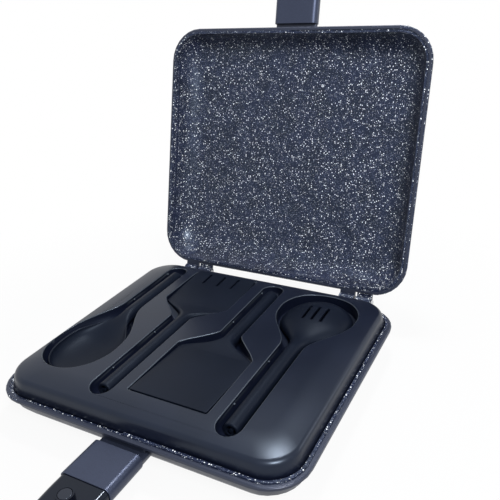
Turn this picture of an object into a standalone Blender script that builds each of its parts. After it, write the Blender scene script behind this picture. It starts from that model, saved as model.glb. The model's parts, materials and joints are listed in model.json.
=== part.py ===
"""Folding double pan for the stove, standing open, with a tool tray in its base half.

Two alike castings meet rim to rim and turn on two hinge pins. Each has a sleeve, a grip
with a magnet, and the bolt that holds them. The tray is a moulded shell that drops into
the base half and holds two spoons and two turners.

Metres, +Z up. X runs along the hinge and the handles point to -Y. The origin is the
middle of the base pan's flat bottom. Run it with blender --background --python part.py.
"""

from math import atan2, cos, hypot, pi, radians, sin, sqrt, tan

import bmesh
import bpy
from mathutils import Matrix, Vector

# Pan castings
PAN_WIDTH = 0.280
PAN_DEPTH = 0.2544
PAN_CORNER = 0.0328
CAVITY_DEPTH = 0.0272
PAN_WALL = 0.0028
PAN_FILLET = 0.0265
PAN_DRAFT = radians(12)
FLANGE_WIDTH = 0.0056
FLANGE_HEIGHT = 0.0040
EDGE_ROUND = 0.0009
FLOOR_CORNER = 0.022

# Rim seal: a tongue along the mouth on one side of each casting and a rebate for it on the other
TONGUE_WIDTH = 0.0023
TONGUE_HEIGHT = 0.0012

# Running clearance between neighbours, and the overrun of every cut
GAP = 0.0003
OVERRUN = 0.001

# Hinge
HINGE_SETBACK = 0.0081
OPEN_ANGLE = radians(104.6)
BARREL_RADIUS = 0.0052
KNUCKLE_LENGTH = 0.0155
KNUCKLE_GAP = 0.002
HINGE_FROM_SIDE = 0.0635
HEEL_THICKNESS = 0.0026
HEEL_DROP = 0.0012
PIN_RADIUS = 0.002
PIN_HEAD_RADIUS = 0.0033
PIN_HEAD_LENGTH = 0.0012
PIN_TAIL_RADIUS = 0.0027

# Handle: bracket, sleeve and grip
BRACKET_REACH = 0.0038
NECK_DROP = 0.0045
NECK_INSET = 0.0008
NECK_TOP_ROUND = 0.0020
NECK_SETBACK = 0.0020
SPIGOT_LENGTH = 0.017
SLEEVE_DROP = 0.0049
SLEEVE_WIDTH = 0.045
SLEEVE_HEIGHT = 0.0155
SLEEVE_LENGTH = 0.037
SLEEVE_WALL = 0.0013
SLEEVE_TOP_ROUND = 0.005
SLEEVE_BOTTOM_ROUND = 0.0085
GRIP_LENGTH = 0.132
GRIP_STEP = 0.001
GRIP_TENON = 0.018
HANG_SLOT_LENGTH = 0.020
HANG_SLOT_WIDTH = 0.009
HANG_SLOT_FROM_END = 0.019

# Handle bolt, its washer and the magnet that holds the handles together
BOLT_RADIUS = 0.0025
BOLT_HEAD_RADIUS = 0.0043
BOLT_HEAD_LENGTH = 0.0036
BOLT_DRIVE_DEPTH = 0.0018
BOLT_DRIVE_RADIUS = 0.0019
BOLT_GRIP = 0.028
WASHER_THICKNESS = 0.0012
MAGNET_RADIUS = 0.005
MAGNET_THICKNESS = 0.003
MAGNET_POST_WALL = 0.0012
MAGNET_FROM_SLEEVE = 0.0175

# Tool tray
TRAY_RISE = 0.0155
TRAY_WALL = 0.0018
TRAY_SHOULDER = 0.005
TRAY_CROWN_DROP = 0.0026
TRAY_CROWN_WIDTH = 0.022
TRAY_DRAFT = radians(13.5)
TRAY_SKIRT = 0.012
TRAY_SLACK_X = 0.0005
TRAY_SLACK_Y = 0.0008
TROUGH_HALF_WIDTH = 0.0105
TROUGH_END_ROOM = 0.0115
NUB_RADIUS = 0.0011
NUB_REACH = 0.0012
NUB_DROP = 0.0035
NUB_PITCH = 0.0600
NUB_FROM_FRONT_END = 0.0245
NUB_FROM_BACK_END = 0.0030

POCKET_UNDER = 0.0008

# What every tool shares
ROD_RADIUS = 0.0065
ROD_END_Y = 0.0955
ROD_CHAMFER = 0.0012
ROD_BORE_RADIUS = 0.0043
ROD_BORE_DEPTH = 0.009
ROD_CORE_RADIUS = 0.0017
HEAD_WALL = 0.0022
SLOT_WIDTH = 0.0028

# Serving spoon, hollow side up
SPOON_X = -0.0955
SPOON_TIP_Y = 0.0900
SPOON_HALF_WIDTH = 0.030
SPOON_HEAD = 0.110
SPOON_DEPTH = 0.0145
SPOON_RIM = 0.0012

# Slotted spoon, hollow side down
SKIMMER_X = 0.0772
SKIMMER_TIP_Y = 0.1050
SKIMMER_HALF_WIDTH = 0.0335
SKIMMER_HEAD = 0.094
SKIMMER_RIM = 0.0055
SKIMMER_SLOT_LENGTH = 0.024
SKIMMER_SLOT_PITCH = 0.0085
SKIMMER_SLOT_FROM_TIP = 0.036

# Slotted turner
SLOTTED_X = -0.0390
SLOTTED_TIP_Y = 0.1075
SLOTTED_HALF_WIDTH = 0.0342
SLOTTED_BLADE = 0.062
SLOTTED_SHOULDER = 0.028
BLADE_SLOT_LENGTH = 0.019
BLADE_SLOT_PITCH = 0.0165
BLADE_SLOT_FROM_TIP = 0.013

# Solid turner
SOLID_X = 0.0196
SOLID_TIP_Y = 0.0920
SOLID_HALF_WIDTH = 0.0356
SOLID_BLADE = 0.0720
SOLID_SHOULDER = 0.030

# Both turners
BLADE_TIP_RISE = 0.0003
BLADE_DROP = 0.0028
BLADE_THICKNESS = 0.0022

# Room round each tool in its pocket
SPOON_ROOM = 0.0035
TURNER_ROOM = 0.0011

# Facets
CORNER_STEPS = 7
FILLET_STEPS = 5
CROWN_STEPS = 4
SECTION_POINTS = 10
ROUND_STEPS = 24
SMALL_ROUND_STEPS = 16
SMOOTH_ANGLE = radians(32)

# Worked out from the sizes above
HALF_X = PAN_WIDTH / 2
HALF_Y = PAN_DEPTH / 2
MOUTH_X = HALF_X - FLANGE_WIDTH
MOUTH_Y = HALF_Y - FLANGE_WIDTH
MOUTH_CORNER = PAN_CORNER - FLANGE_WIDTH
MATE_Z = CAVITY_DEPTH + PAN_WALL
HINGE_INNER = HALF_X - HINGE_FROM_SIDE
RIM_Z = -GAP / 2
HINGE_Y = HALF_Y + HINGE_SETBACK
SLEEVE_FRONT = HALF_Y + BRACKET_REACH
SLEEVE_END = SLEEVE_FRONT + SLEEVE_LENGTH
GRIP_FRONT = SLEEVE_END + GAP
GRIP_END = GRIP_FRONT + GRIP_LENGTH
HANDLE_AXIS_Z = -SLEEVE_DROP - SLEEVE_HEIGHT / 2
MAGNET_Y = SLEEVE_END + MAGNET_FROM_SLEEVE
ROD_AXIS_Z = TRAY_RISE - ROD_RADIUS
TROUGH_DEPTH = 2 * ROD_RADIUS + GAP

# Shares of a spoon's head, from its tip: where it is widest, and how its sides draw in
WIDEST_SHARE = 0.36
DRAW_IN_SHARE = 1.25
RIM_LAND_SHARE = 0.93
HEAD_SHARES = (0.001, 0.014, 0.05, 0.11, 0.20, 0.30, 0.42, 0.54, 0.65, 0.76, 0.88, 1.0)
NECK_START_SHARE = 0.50
# Places along a turner's blade and along its shoulders, with the width there
BLADE_SHARES = ((0.0, 0.955), (0.02, 0.99), (0.05, 1.0), (0.55, 1.0), (0.97, 1.0))
SHOULDER_SHARES = ((0.04, 0.975), (0.28, 0.75), (0.60, 0.38), (0.85, 0.10), (1.0, 0.0))
# Along the grip: place, half width and height as shares of the sleeve's
GRIP_SHARES = ((0.0, 0.955, 0.93), (0.10, 0.950, 0.94), (0.32, 0.880, 0.95), (0.60, 0.900, 1.0),
               (0.84, 0.960, 1.0), (0.94, 0.900, 0.95), (0.98, 0.760, 0.84), (1.0, 0.520, 0.62))
# How square a pocket's section is: two is an ellipse, and more is nearer a rectangle
SPOON_SQUARE_SHARE = 2.3
SKIMMER_SQUARE_SHARE = 14.0
TURNER_SQUARE_SHARE = 26.0
TROUGH_SQUARE_SHARE = 2.6
# The rounded end of a trough: place past the rod, and width there
TROUGH_END_SHARES = ((0.35, 0.99), (0.70, 0.78), (0.90, 0.48), (1.0, 0.16))

cutters = None
parts = None


def new_collection(name):
    made = bpy.data.collections.new(name)
    bpy.context.scene.collection.children.link(made)
    return made


def material(name, colour, roughness, metallic=0.0):
    made = bpy.data.materials.new(name)
    made.use_nodes = True
    shader = made.node_tree.nodes["Principled BSDF"]
    shader.inputs["Base Color"].default_value = (*colour, 1.0)
    shader.inputs["Roughness"].default_value = roughness
    shader.inputs["Metallic"].default_value = metallic
    made.diffuse_color = (*colour, 1.0)
    return made


def add_object(name, data, home):
    made = bpy.data.objects.new(name, data)
    home.objects.link(made)
    return made


def as_cutter(piece):
    """Keep a piece as a tool for a Boolean, out of the render."""
    for home in list(piece.users_collection):
        home.objects.unlink(piece)
    cutters.objects.link(piece)
    piece.hide_render = True
    piece.display_type = "WIRE"
    return piece


def to_mesh(piece):
    """Replace an object by one that holds its evaluated mesh, welded."""
    bpy.context.view_layer.update()
    graph = bpy.context.evaluated_depsgraph_get()
    data = bpy.data.meshes.new_from_object(piece.evaluated_get(graph))
    bm = bmesh.new()
    bm.from_mesh(data)
    bmesh.ops.remove_doubles(bm, verts=bm.verts, dist=GAP / 100)
    bmesh.ops.recalc_face_normals(bm, faces=bm.faces)
    bm.to_mesh(data)
    bm.free()
    name = piece.name
    placed = piece.matrix_world.copy()
    home = piece.users_collection[0]
    bpy.data.objects.remove(piece)
    made = add_object(name, data, home)
    made.matrix_world = placed
    return made


def loft(name, rings):
    """A closed solid through rings of points, each with as many points as the next."""
    bm = bmesh.new()
    rows = [[bm.verts.new(point) for point in ring] for ring in rings]
    count = len(rows[0])
    for below, above in zip(rows, rows[1:]):
        for k in range(count):
            after = (k + 1) % count
            bm.faces.new((below[k], below[after], above[after], above[k]))
    bm.faces.new(rows[0])
    bm.faces.new(rows[-1])
    bmesh.ops.recalc_face_normals(bm, faces=bm.faces)
    data = bpy.data.meshes.new(name)
    bm.to_mesh(data)
    bm.free()
    return add_object(name, data, parts)


def slab(name, loops, low, high):
    """Flat outlines, filled and extruded from low to high along Z."""
    curve = bpy.data.curves.new(name, "CURVE")
    curve.dimensions = "2D"
    curve.fill_mode = "BOTH"
    curve.extrude = (high - low) / 2
    for loop in loops:
        spline = curve.splines.new("POLY")
        spline.points.add(len(loop) - 1)
        for point, (x, y) in zip(spline.points, loop):
            point.co = (x, y, 0, 1)
        spline.use_cyclic_u = True
    piece = add_object(name, curve, parts)
    piece.location.z = (low + high) / 2
    made = to_mesh(piece)
    made.data.transform(made.matrix_world)
    made.matrix_world = Matrix.Identity(4)
    return made


def turned(name, profile, steps, closed=False):
    """A profile of radius and height, listed from the top down, turned about Z."""
    bm = bmesh.new()
    verts = [bm.verts.new((radius, 0, height)) for radius, height in profile]
    for first, second in zip(verts, verts[1:]):
        bm.edges.new((first, second))
    if closed:
        bm.edges.new((verts[-1], verts[0]))
    data = bpy.data.meshes.new(name)
    bm.to_mesh(data)
    bm.free()
    piece = add_object(name, data, parts)
    screw = piece.modifiers.new("Turn", "SCREW")
    screw.steps = steps
    screw.render_steps = steps
    screw.use_merge_vertices = True
    screw.merge_threshold = GAP / 100
    return to_mesh(piece)


def cylinder(name, radius, length, steps=ROUND_STEPS):
    """A cylinder about Z from zero up to its length."""
    bm = bmesh.new()
    bmesh.ops.create_cone(
        bm, cap_ends=True, segments=steps, radius1=radius, radius2=radius, depth=length,
        matrix=Matrix.Translation((0, 0, length / 2)))
    data = bpy.data.meshes.new(name)
    bm.to_mesh(data)
    bm.free()
    return add_object(name, data, parts)


def combine(body, others, operation):
    """Join the others to the body, or cut them out of it, one after another."""
    for other in others:
        as_cutter(other)
        step = body.modifiers.new(other.name, "BOOLEAN")
        step.operation = operation
        step.solver = "EXACT"
        step.object = other
        body = to_mesh(body)
    return body


def place(piece, matrix):
    """Move the mesh itself, so that later Booleans see it there."""
    piece.data.transform(matrix)
    return piece


ALONG_Y = Matrix.Rotation(pi / 2, 4, "X")
ALONG_X = Matrix.Rotation(pi / 2, 4, "Y")


def outline(half_x, half_y, corner, steps=CORNER_STEPS):
    """A rectangle with round corners, as points that run anticlockwise."""
    points = []
    for turn, (sx, sy) in enumerate(((1, 1), (-1, 1), (-1, -1), (1, -1))):
        for k in range(steps + 1):
            angle = (turn + k / steps) * pi / 2
            points.append((sx * (half_x - corner) + corner * cos(angle),
                           sy * (half_y - corner) + corner * sin(angle)))
    return points


def ring_at(half_x, half_y, corner, z):
    return [(x, y, z) for x, y in outline(half_x, half_y, corner)]


# The bowl of a casting, by its cross-section


def wall_inset(depth, thickness=0.0):
    """How far in from the mouth the cavity's wall lies, at a depth below the rim.

    With a thickness, the same for the wall's outer face, which shares the fillet's middle.
    """
    radius = PAN_FILLET + thickness
    middle = CAVITY_DEPTH - PAN_FILLET
    start = middle + PAN_FILLET * sin(PAN_DRAFT)
    centre_inset = start * tan(PAN_DRAFT) + PAN_FILLET * cos(PAN_DRAFT)
    outer_start = middle + radius * sin(PAN_DRAFT)
    if depth <= outer_start:
        return centre_inset - radius * cos(PAN_DRAFT) - (outer_start - depth) * tan(PAN_DRAFT)
    fall = min(depth - middle, radius)
    return centre_inset - sqrt(radius * radius - fall * fall)


def bowl_depths(thickness=0.0):
    """Depths of the rings from the floor up to where the fillet meets the wall."""
    radius = PAN_FILLET + thickness
    middle = CAVITY_DEPTH - PAN_FILLET
    angles = [PAN_DRAFT + (pi / 2 - PAN_DRAFT) * k / FILLET_STEPS for k in range(FILLET_STEPS + 1)]
    return [middle + radius * sin(angle) for angle in reversed(angles)]


def bowl_ring(depth, thickness=0.0):
    inset = wall_inset(depth, thickness)
    share = max(0.0, inset) / wall_inset(CAVITY_DEPTH)
    corner = MOUTH_CORNER + (FLOOR_CORNER - MOUTH_CORNER) * share - min(0.0, inset)
    return ring_at(MOUTH_X - inset, MOUTH_Y - inset, corner, -depth)


def rim_band(near, far, side, start):
    """Outline of a band along one side of the rim, between two insets from its edge."""
    def path(inset):
        corner = PAN_CORNER - inset
        x = HALF_X - inset
        y = HALF_Y - inset
        points = [(start, -y)]
        for k in range(CORNER_STEPS + 1):
            angle = -pi / 2 + k / CORNER_STEPS * pi / 2
            points.append((x - corner + corner * cos(angle), -y + corner + corner * sin(angle)))
        for k in range(CORNER_STEPS + 1):
            angle = k / CORNER_STEPS * pi / 2
            points.append((x - corner + corner * cos(angle), y - corner + corner * sin(angle)))
        points.append((start, y))
        return points

    loop = path(near) + list(reversed(path(far)))
    return [(side * x, y) for x, y in loop]


def swing(point, angle):
    """Turn a point of the hinge's section, opening by an angle about its axis."""
    y, z = point
    reach = hypot(y, z)
    direction = atan2(z, -y) + angle
    return (-reach * cos(direction), reach * sin(direction))


def knuckle(name, low, high):
    """One hinge knuckle of a casting: barrel, web to the rim, and the heel that stops the lid."""
    barrel = [(BARREL_RADIUS * cos(2 * pi * k / ROUND_STEPS), BARREL_RADIUS * sin(2 * pi * k / ROUND_STEPS))
              for k in range(ROUND_STEPS)]
    root = -HINGE_SETBACK - FLANGE_HEIGHT / 2
    web = [(root, -FLANGE_HEIGHT + EDGE_ROUND), (0, -FLANGE_HEIGHT + EDGE_ROUND), (0, RIM_Z), (root, RIM_Z)]
    reach = -HINGE_SETBACK + GAP
    contact = [(reach, -HEEL_DROP - HEEL_THICKNESS), (0, -HEEL_DROP - HEEL_THICKNESS),
               (0, -HEEL_DROP), (reach, -HEEL_DROP)]
    # The heel meets the other casting's rim with the pan open, and this casting lies upside down there
    heel = [(y, -z) for y, z in (swing(point, -OPEN_ANGLE) for point in contact)]
    pieces = []
    for label, loop in (("barrel", barrel), ("web", web), ("heel", heel)):
        made = slab(f"{name}_{label}", [loop], low, high)
        # The section lies in Y and Z, and the slab's height becomes X
        place(made, Matrix(((0, 0, 1, 0), (1, 0, 0, HINGE_Y), (0, 1, 0, 0), (0, 0, 0, 1))))
        pieces.append(made)
    return combine(pieces[0], pieces[1:], "UNION")


def handle_section(half_width, top, bottom, top_round, bottom_round, steps=4):
    """Section of the handle in X and Z: flat inner face, rounder outer face."""
    points = []
    corners = ((1, top, top_round, 0), (-1, top, top_round, 1),
               (-1, bottom, bottom_round, 2), (1, bottom, bottom_round, 3))
    for side, edge, corner, turn in corners:
        lift = -corner if edge == top else corner
        for k in range(steps + 1):
            angle = (turn + k / steps) * pi / 2
            points.append((side * (half_width - corner) + corner * cos(angle),
                           edge + lift + corner * sin(angle)))
    return points


def sleeve_section(inset):
    """The sleeve's outer section, or one drawn in from it by an inset."""
    return handle_section(
        SLEEVE_WIDTH / 2 - inset, -SLEEVE_DROP - inset, -SLEEVE_DROP - SLEEVE_HEIGHT + inset,
        SLEEVE_TOP_ROUND - inset, SLEEVE_BOTTOM_ROUND - inset)


def along_handle(section, y):
    return [(x, -y, z) for x, z in section]


def make_casting():
    """One pan half with its cavity up: bowl, rim, tongue and rebate, knuckles and bracket."""
    rings = [bowl_ring(depth, PAN_WALL) for depth in bowl_depths(PAN_WALL)]
    rings.append(bowl_ring(FLANGE_HEIGHT, PAN_WALL))
    for inset, z in ((EDGE_ROUND, -FLANGE_HEIGHT), (0, -FLANGE_HEIGHT + EDGE_ROUND),
                     (0, RIM_Z - EDGE_ROUND), (EDGE_ROUND, RIM_Z)):
        rings.append(ring_at(HALF_X - inset, HALF_Y - inset, PAN_CORNER - inset, z))
    body = loft("casting", rings)

    # The neck is the sleeve's section cut low, and its spigot rises to the full section inside the sleeve
    neck_top = -SLEEVE_DROP - NECK_DROP
    bottom = -SLEEVE_DROP - SLEEVE_HEIGHT + NECK_INSET
    half_width = SLEEVE_WIDTH / 2 - NECK_INSET
    inside = MOUTH_Y - wall_inset(-bottom) + OVERRUN
    low = handle_section(half_width, neck_top, bottom, NECK_TOP_ROUND, SLEEVE_BOTTOM_ROUND - NECK_INSET)
    neck = loft("bracket_neck", [along_handle(low, y) for y in (inside, SLEEVE_FRONT)])
    root = [(half_width - NECK_TOP_ROUND, -inside), (half_width - NECK_TOP_ROUND, -HALF_Y + NECK_SETBACK),
            (-half_width + NECK_TOP_ROUND, -HALF_Y + NECK_SETBACK), (-half_width + NECK_TOP_ROUND, -inside)]
    inset = SLEEVE_WALL + GAP
    low = handle_section(SLEEVE_WIDTH / 2 - inset, neck_top, -SLEEVE_DROP - SLEEVE_HEIGHT + inset,
                         NECK_TOP_ROUND, SLEEVE_BOTTOM_ROUND - inset)
    full = sleeve_section(inset)
    tip = SLEEVE_FRONT + SPIGOT_LENGTH
    spigot = loft("spigot", [along_handle(low, SLEEVE_FRONT - OVERRUN),
                             along_handle(low, SLEEVE_FRONT + NECK_SETBACK),
                             along_handle(full, SLEEVE_FRONT + 2 * NECK_SETBACK),
                             along_handle(full, tip - OVERRUN),
                             along_handle(sleeve_section(inset + OVERRUN), tip)])
    additions = [neck, slab("bracket_root", [root], neck_top - OVERRUN, -FLANGE_HEIGHT / 2), spigot,
                 knuckle("knuckle_left", -HINGE_INNER - KNUCKLE_LENGTH, -HINGE_INNER),
                 knuckle("knuckle_right", HINGE_INNER + KNUCKLE_LENGTH + KNUCKLE_GAP,
                         HINGE_INNER + 2 * KNUCKLE_LENGTH + KNUCKLE_GAP),
                 slab("tongue", [rim_band(FLANGE_WIDTH - TONGUE_WIDTH, FLANGE_WIDTH + OVERRUN, 1, GAP)],
                      -FLANGE_HEIGHT / 2, TONGUE_HEIGHT)]
    body = combine(body, additions, "UNION")

    rings = [bowl_ring(depth) for depth in bowl_depths()]
    rings.append(bowl_ring(-RIM_Z))
    rings.append(ring_at(MOUTH_X, MOUTH_Y, MOUTH_CORNER, TONGUE_HEIGHT + OVERRUN))
    cavity = loft("cavity", rings)
    rebate = slab("rebate", [rim_band(FLANGE_WIDTH - TONGUE_WIDTH - GAP, FLANGE_WIDTH + OVERRUN, -1, -GAP)],
                  -TONGUE_HEIGHT - GAP, OVERRUN)
    bores = []
    for name, low in (("left", -HINGE_INNER - KNUCKLE_LENGTH),
                      ("right", HINGE_INNER + KNUCKLE_LENGTH + KNUCKLE_GAP)):
        bore = cylinder(f"pin_bore_{name}", PIN_RADIUS + GAP, KNUCKLE_LENGTH + 2 * OVERRUN, SMALL_ROUND_STEPS)
        bores.append(place(bore, Matrix.Translation((low - OVERRUN, HINGE_Y, 0)) @ ALONG_X))
    thread = cylinder("bolt_thread", BOLT_RADIUS + GAP, SPIGOT_LENGTH + OVERRUN, SMALL_ROUND_STEPS)
    place(thread, Matrix.Translation((0, -SLEEVE_FRONT, HANDLE_AXIS_Z)) @ ALONG_Y)
    return combine(body, [cavity, rebate, *bores, thread], "DIFFERENCE")


def make_sleeve():
    """The metal sleeve between the casting and the grip, open at both ends."""
    made = slab("sleeve", [sleeve_section(0), sleeve_section(SLEEVE_WALL)], SLEEVE_FRONT + GAP, SLEEVE_END)
    return place(made, ALONG_Y)


def make_grip():
    """The moulded grip: tenon in the sleeve, magnet post, bolt bore and hanging slot."""
    sections = []
    tenon = sleeve_section(SLEEVE_WALL + GAP)
    for y in (GRIP_FRONT - GRIP_TENON, GRIP_FRONT + OVERRUN):
        sections.append(along_handle(tenon, y))
    tenon = loft("tenon", sections)
    rings = []
    top = -SLEEVE_DROP - GRIP_STEP
    for place_share, width_share, height_share in GRIP_SHARES:
        half_width = SLEEVE_WIDTH / 2 * width_share
        height = (SLEEVE_HEIGHT - GRIP_STEP) * height_share
        section = handle_section(half_width, top, top - height,
                                 SLEEVE_TOP_ROUND * height_share, SLEEVE_BOTTOM_ROUND * width_share * height_share)
        rings.append(along_handle(section, GRIP_FRONT + GRIP_LENGTH * place_share))
    body = loft("grip", rings)
    post = cylinder("magnet_post", MAGNET_RADIUS + GAP + MAGNET_POST_WALL, RIM_Z - top + OVERRUN)
    place(post, Matrix.Translation((0, -MAGNET_Y, top - OVERRUN)))
    body = combine(body, [tenon, post], "UNION")

    seat = cylinder("magnet_seat", MAGNET_RADIUS + GAP, MAGNET_THICKNESS + GAP + OVERRUN)
    place(seat, Matrix.Translation((0, -MAGNET_Y, RIM_Z - MAGNET_THICKNESS - GAP)))
    bolt_front = GRIP_FRONT - GRIP_TENON
    bore = cylinder("bolt_bore", BOLT_RADIUS + GAP, GRIP_TENON + BOLT_GRIP + 2 * OVERRUN, SMALL_ROUND_STEPS)
    place(bore, Matrix.Translation((0, -bolt_front + OVERRUN, HANDLE_AXIS_Z)) @ ALONG_Y)
    reach = GRIP_LENGTH - BOLT_GRIP + OVERRUN
    access = cylinder("bolt_access", BOLT_HEAD_RADIUS + GAP, reach, SMALL_ROUND_STEPS)
    place(access, Matrix.Translation((0, -GRIP_FRONT - BOLT_GRIP, HANDLE_AXIS_Z)) @ ALONG_Y)
    straight = HANG_SLOT_LENGTH / 2 - HANG_SLOT_WIDTH / 2
    loop = []
    for turn in (0, 1):
        for k in range(SMALL_ROUND_STEPS // 2 + 1):
            angle = (turn + 2 * k / SMALL_ROUND_STEPS) * pi
            y = (1 - 2 * turn) * straight + HANG_SLOT_WIDTH / 2 * sin(angle)
            loop.append((HANG_SLOT_WIDTH / 2 * cos(angle), y - GRIP_END + HANG_SLOT_FROM_END))
    hang = slab("hang_slot", [loop], top - SLEEVE_HEIGHT - OVERRUN, OVERRUN)
    return combine(body, [seat, bore, access, hang], "DIFFERENCE")


def make_bolt():
    """The bolt that pulls the grip and the sleeve onto the casting."""
    seat = GRIP_FRONT + BOLT_GRIP + GAP + WASHER_THICKNESS + GAP
    length = seat - SLEEVE_FRONT - GAP
    profile = [(0, BOLT_HEAD_LENGTH), (BOLT_HEAD_RADIUS * 0.75, BOLT_HEAD_LENGTH),
               (BOLT_HEAD_RADIUS, BOLT_HEAD_LENGTH * 0.6), (BOLT_HEAD_RADIUS, 0), (BOLT_RADIUS, 0),
               (BOLT_RADIUS, -length + ROD_CHAMFER), (BOLT_RADIUS - ROD_CHAMFER / 2, -length), (0, -length)]
    made = turned("bolt", profile, SMALL_ROUND_STEPS)
    drive = cylinder("bolt_drive", BOLT_DRIVE_RADIUS, BOLT_DRIVE_DEPTH + OVERRUN, 6)
    place(drive, Matrix.Translation((0, 0, BOLT_HEAD_LENGTH - BOLT_DRIVE_DEPTH)))
    made = combine(made, [drive], "DIFFERENCE")
    return place(made, Matrix.Translation((0, -seat, HANDLE_AXIS_Z)) @ ALONG_Y)


def make_washer():
    """The spring washer under the bolt's head."""
    inner = BOLT_RADIUS + GAP
    profile = [(inner, WASHER_THICKNESS), (BOLT_HEAD_RADIUS, WASHER_THICKNESS), (BOLT_HEAD_RADIUS, 0), (inner, 0)]
    made = turned("washer", profile, SMALL_ROUND_STEPS, closed=True)
    return place(made, Matrix.Translation((0, -GRIP_FRONT - BOLT_GRIP - GAP, HANDLE_AXIS_Z)) @ ALONG_Y)


def make_magnet():
    bevel = GAP
    height = MAGNET_THICKNESS
    profile = [(0, height), (MAGNET_RADIUS - bevel, height), (MAGNET_RADIUS, height - bevel),
               (MAGNET_RADIUS, bevel), (MAGNET_RADIUS - bevel, 0), (0, 0)]
    made = turned("magnet", profile, ROUND_STEPS)
    return place(made, Matrix.Translation((0, -MAGNET_Y, RIM_Z - height)))


def make_pin():
    """A hinge pin, headed at its outer end and riveted over at the inner one, from zero along +X."""
    length = 2 * KNUCKLE_LENGTH + KNUCKLE_GAP + 2 * GAP
    tail = PIN_HEAD_LENGTH / 2
    profile = [(0, length + PIN_HEAD_LENGTH), (PIN_HEAD_RADIUS * 0.8, length + PIN_HEAD_LENGTH),
               (PIN_HEAD_RADIUS, length + PIN_HEAD_LENGTH / 2), (PIN_HEAD_RADIUS, length), (PIN_RADIUS, length),
               (PIN_RADIUS, 0), (PIN_TAIL_RADIUS, 0), (PIN_TAIL_RADIUS * 0.8, -tail), (0, -tail)]
    made = turned("pin", profile, SMALL_ROUND_STEPS)
    return place(made, Matrix.Translation((-GAP, 0, 0)) @ ALONG_X)


# Tools. A section is a closed ring in X and Z: its underside first, then back over its top.


def section_sweep(count=SECTION_POINTS):
    return [k / (count - 1) * pi for k in range(count)]


def rod_section(radius=ROD_RADIUS):
    angles = [(k + 0.5) / SECTION_POINTS * pi for k in range(SECTION_POINTS)]
    under = [(radius * cos(a), -radius * sin(a)) for a in angles]
    over = [(radius * cos(a), radius * sin(a)) for a in reversed(angles)]
    return under + over


def bowl_section(half_width, hollow, rim):
    """A spoon's bowl, hollow side up, with its rim at a height above the rod's axis."""
    under = [(half_width * cos(a), rim - (hollow + HEAD_WALL) * sin(a)) for a in section_sweep()]
    inner = half_width * RIM_LAND_SHARE
    over = [(inner * cos(a), rim - hollow * sin(a)) for a in reversed(section_sweep())]
    return under + over


def blade_drop(share):
    """How far a blade's top lies below the tray's, at a share of its length from its tip."""
    return BLADE_DROP * share - BLADE_TIP_RISE * (1 - share)


def blade_section(half_width, share=1.0):
    top = ROD_RADIUS - blade_drop(share)
    under = [(half_width * cos(a), top - BLADE_THICKNESS) for a in section_sweep()]
    over = [(half_width * cos(a), top) for a in reversed(section_sweep())]
    return under + over


def mix(first, second, share):
    return [(a[0] + (b[0] - a[0]) * share, a[1] + (b[1] - a[1]) * share) for a, b in zip(first, second)]


def ease(share):
    share = min(1.0, max(0.0, share))
    return share * share * (3 - 2 * share)


def spoon_width(share, half_width, neck):
    """Half width of a spoon's outline, at a share of its head's length from the tip."""
    if share < WIDEST_SHARE:
        return half_width * sqrt(1 - ((WIDEST_SHARE - share) / WIDEST_SHARE) ** 2)
    draw = ((share - WIDEST_SHARE) / (1 - WIDEST_SHARE)) ** DRAW_IN_SHARE
    return neck + (half_width - neck) * (1 + cos(pi * draw)) / 2


def spoon_hollow(share, half_width):
    """Depth of a spoon's hollow along its head."""
    full = SPOON_DEPTH - HEAD_WALL
    return full * spoon_width(share, half_width, ROD_RADIUS) / half_width


def spoon_sections(half_width, head, rim):
    """Places from the tip, with the spoon's section at each, up to where the rod begins."""
    found = []
    for share in HEAD_SHARES:
        bowl = bowl_section(spoon_width(share, half_width, ROD_RADIUS), spoon_hollow(share, half_width), rim)
        joined = ease((share - NECK_START_SHARE) / (1 - NECK_START_SHARE))
        found.append((share * head, mix(bowl, rod_section(), joined)))
    return found


def turner_sections(half_width, blade, shoulder):
    found = [(share * blade, blade_section(width * half_width, share)) for share, width in BLADE_SHARES]
    for share, spread in SHOULDER_SHARES:
        width = ROD_RADIUS + (half_width - ROD_RADIUS) * spread
        found.append((blade + share * shoulder, mix(blade_section(width), rod_section(), ease(share))))
    return found


def make_tool(name, sections, length, cuts):
    """A tool along Y with its tip at +Y: head, rod and the hollow end of its handle."""
    rings = [[(x, -s, z) for x, z in section] for s, section in sections]
    for s, radius in ((length - ROD_CHAMFER, ROD_RADIUS), (length, ROD_RADIUS - ROD_CHAMFER / 2)):
        rings.append([(x, -s, z) for x, z in rod_section(radius)])
    body = loft(name, rings)
    depth = ROD_BORE_DEPTH
    profile = [(ROD_CORE_RADIUS, OVERRUN), (ROD_BORE_RADIUS, OVERRUN), (ROD_BORE_RADIUS, -depth),
               (ROD_CORE_RADIUS, -depth)]
    bore = turned(f"{name}_bore", profile, SMALL_ROUND_STEPS, closed=True)
    place(bore, Matrix.Translation((0, -length, 0)) @ ALONG_Y)
    return combine(body, [bore, *cuts], "DIFFERENCE")


def slot_cutter(name, x, near, far):
    """A cutter for one round-ended slot along Y, between two distances from the tip."""
    radius = SLOT_WIDTH / 2
    loop = []
    for middle, start in ((-near - radius, 0), (-far + radius, pi)):
        for k in range(5):
            angle = start + k * pi / 4
            loop.append((x + radius * cos(angle), middle + radius * sin(angle)))
    return slab(name, [loop], -SPOON_DEPTH - OVERRUN, SPOON_DEPTH + OVERRUN)


# Pockets of the tray. A section is a closed ring in X and Z, from its left lip round its floor.


def pocket_section(half_width, depth, squareness, top):
    points = []
    for a in section_sweep(SECTION_POINTS + 1):
        across = abs(cos(a)) ** (2 / squareness) * (1 if cos(a) >= 0 else -1)
        down = sin(a) ** (2 / squareness) if sin(a) > 0 else 0
        points.append((half_width * across, TRAY_RISE - depth * down))
    points[0] = (half_width, TRAY_RISE - depth * 0)
    return [(half_width, top)] + points + [(-half_width, top)]


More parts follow.
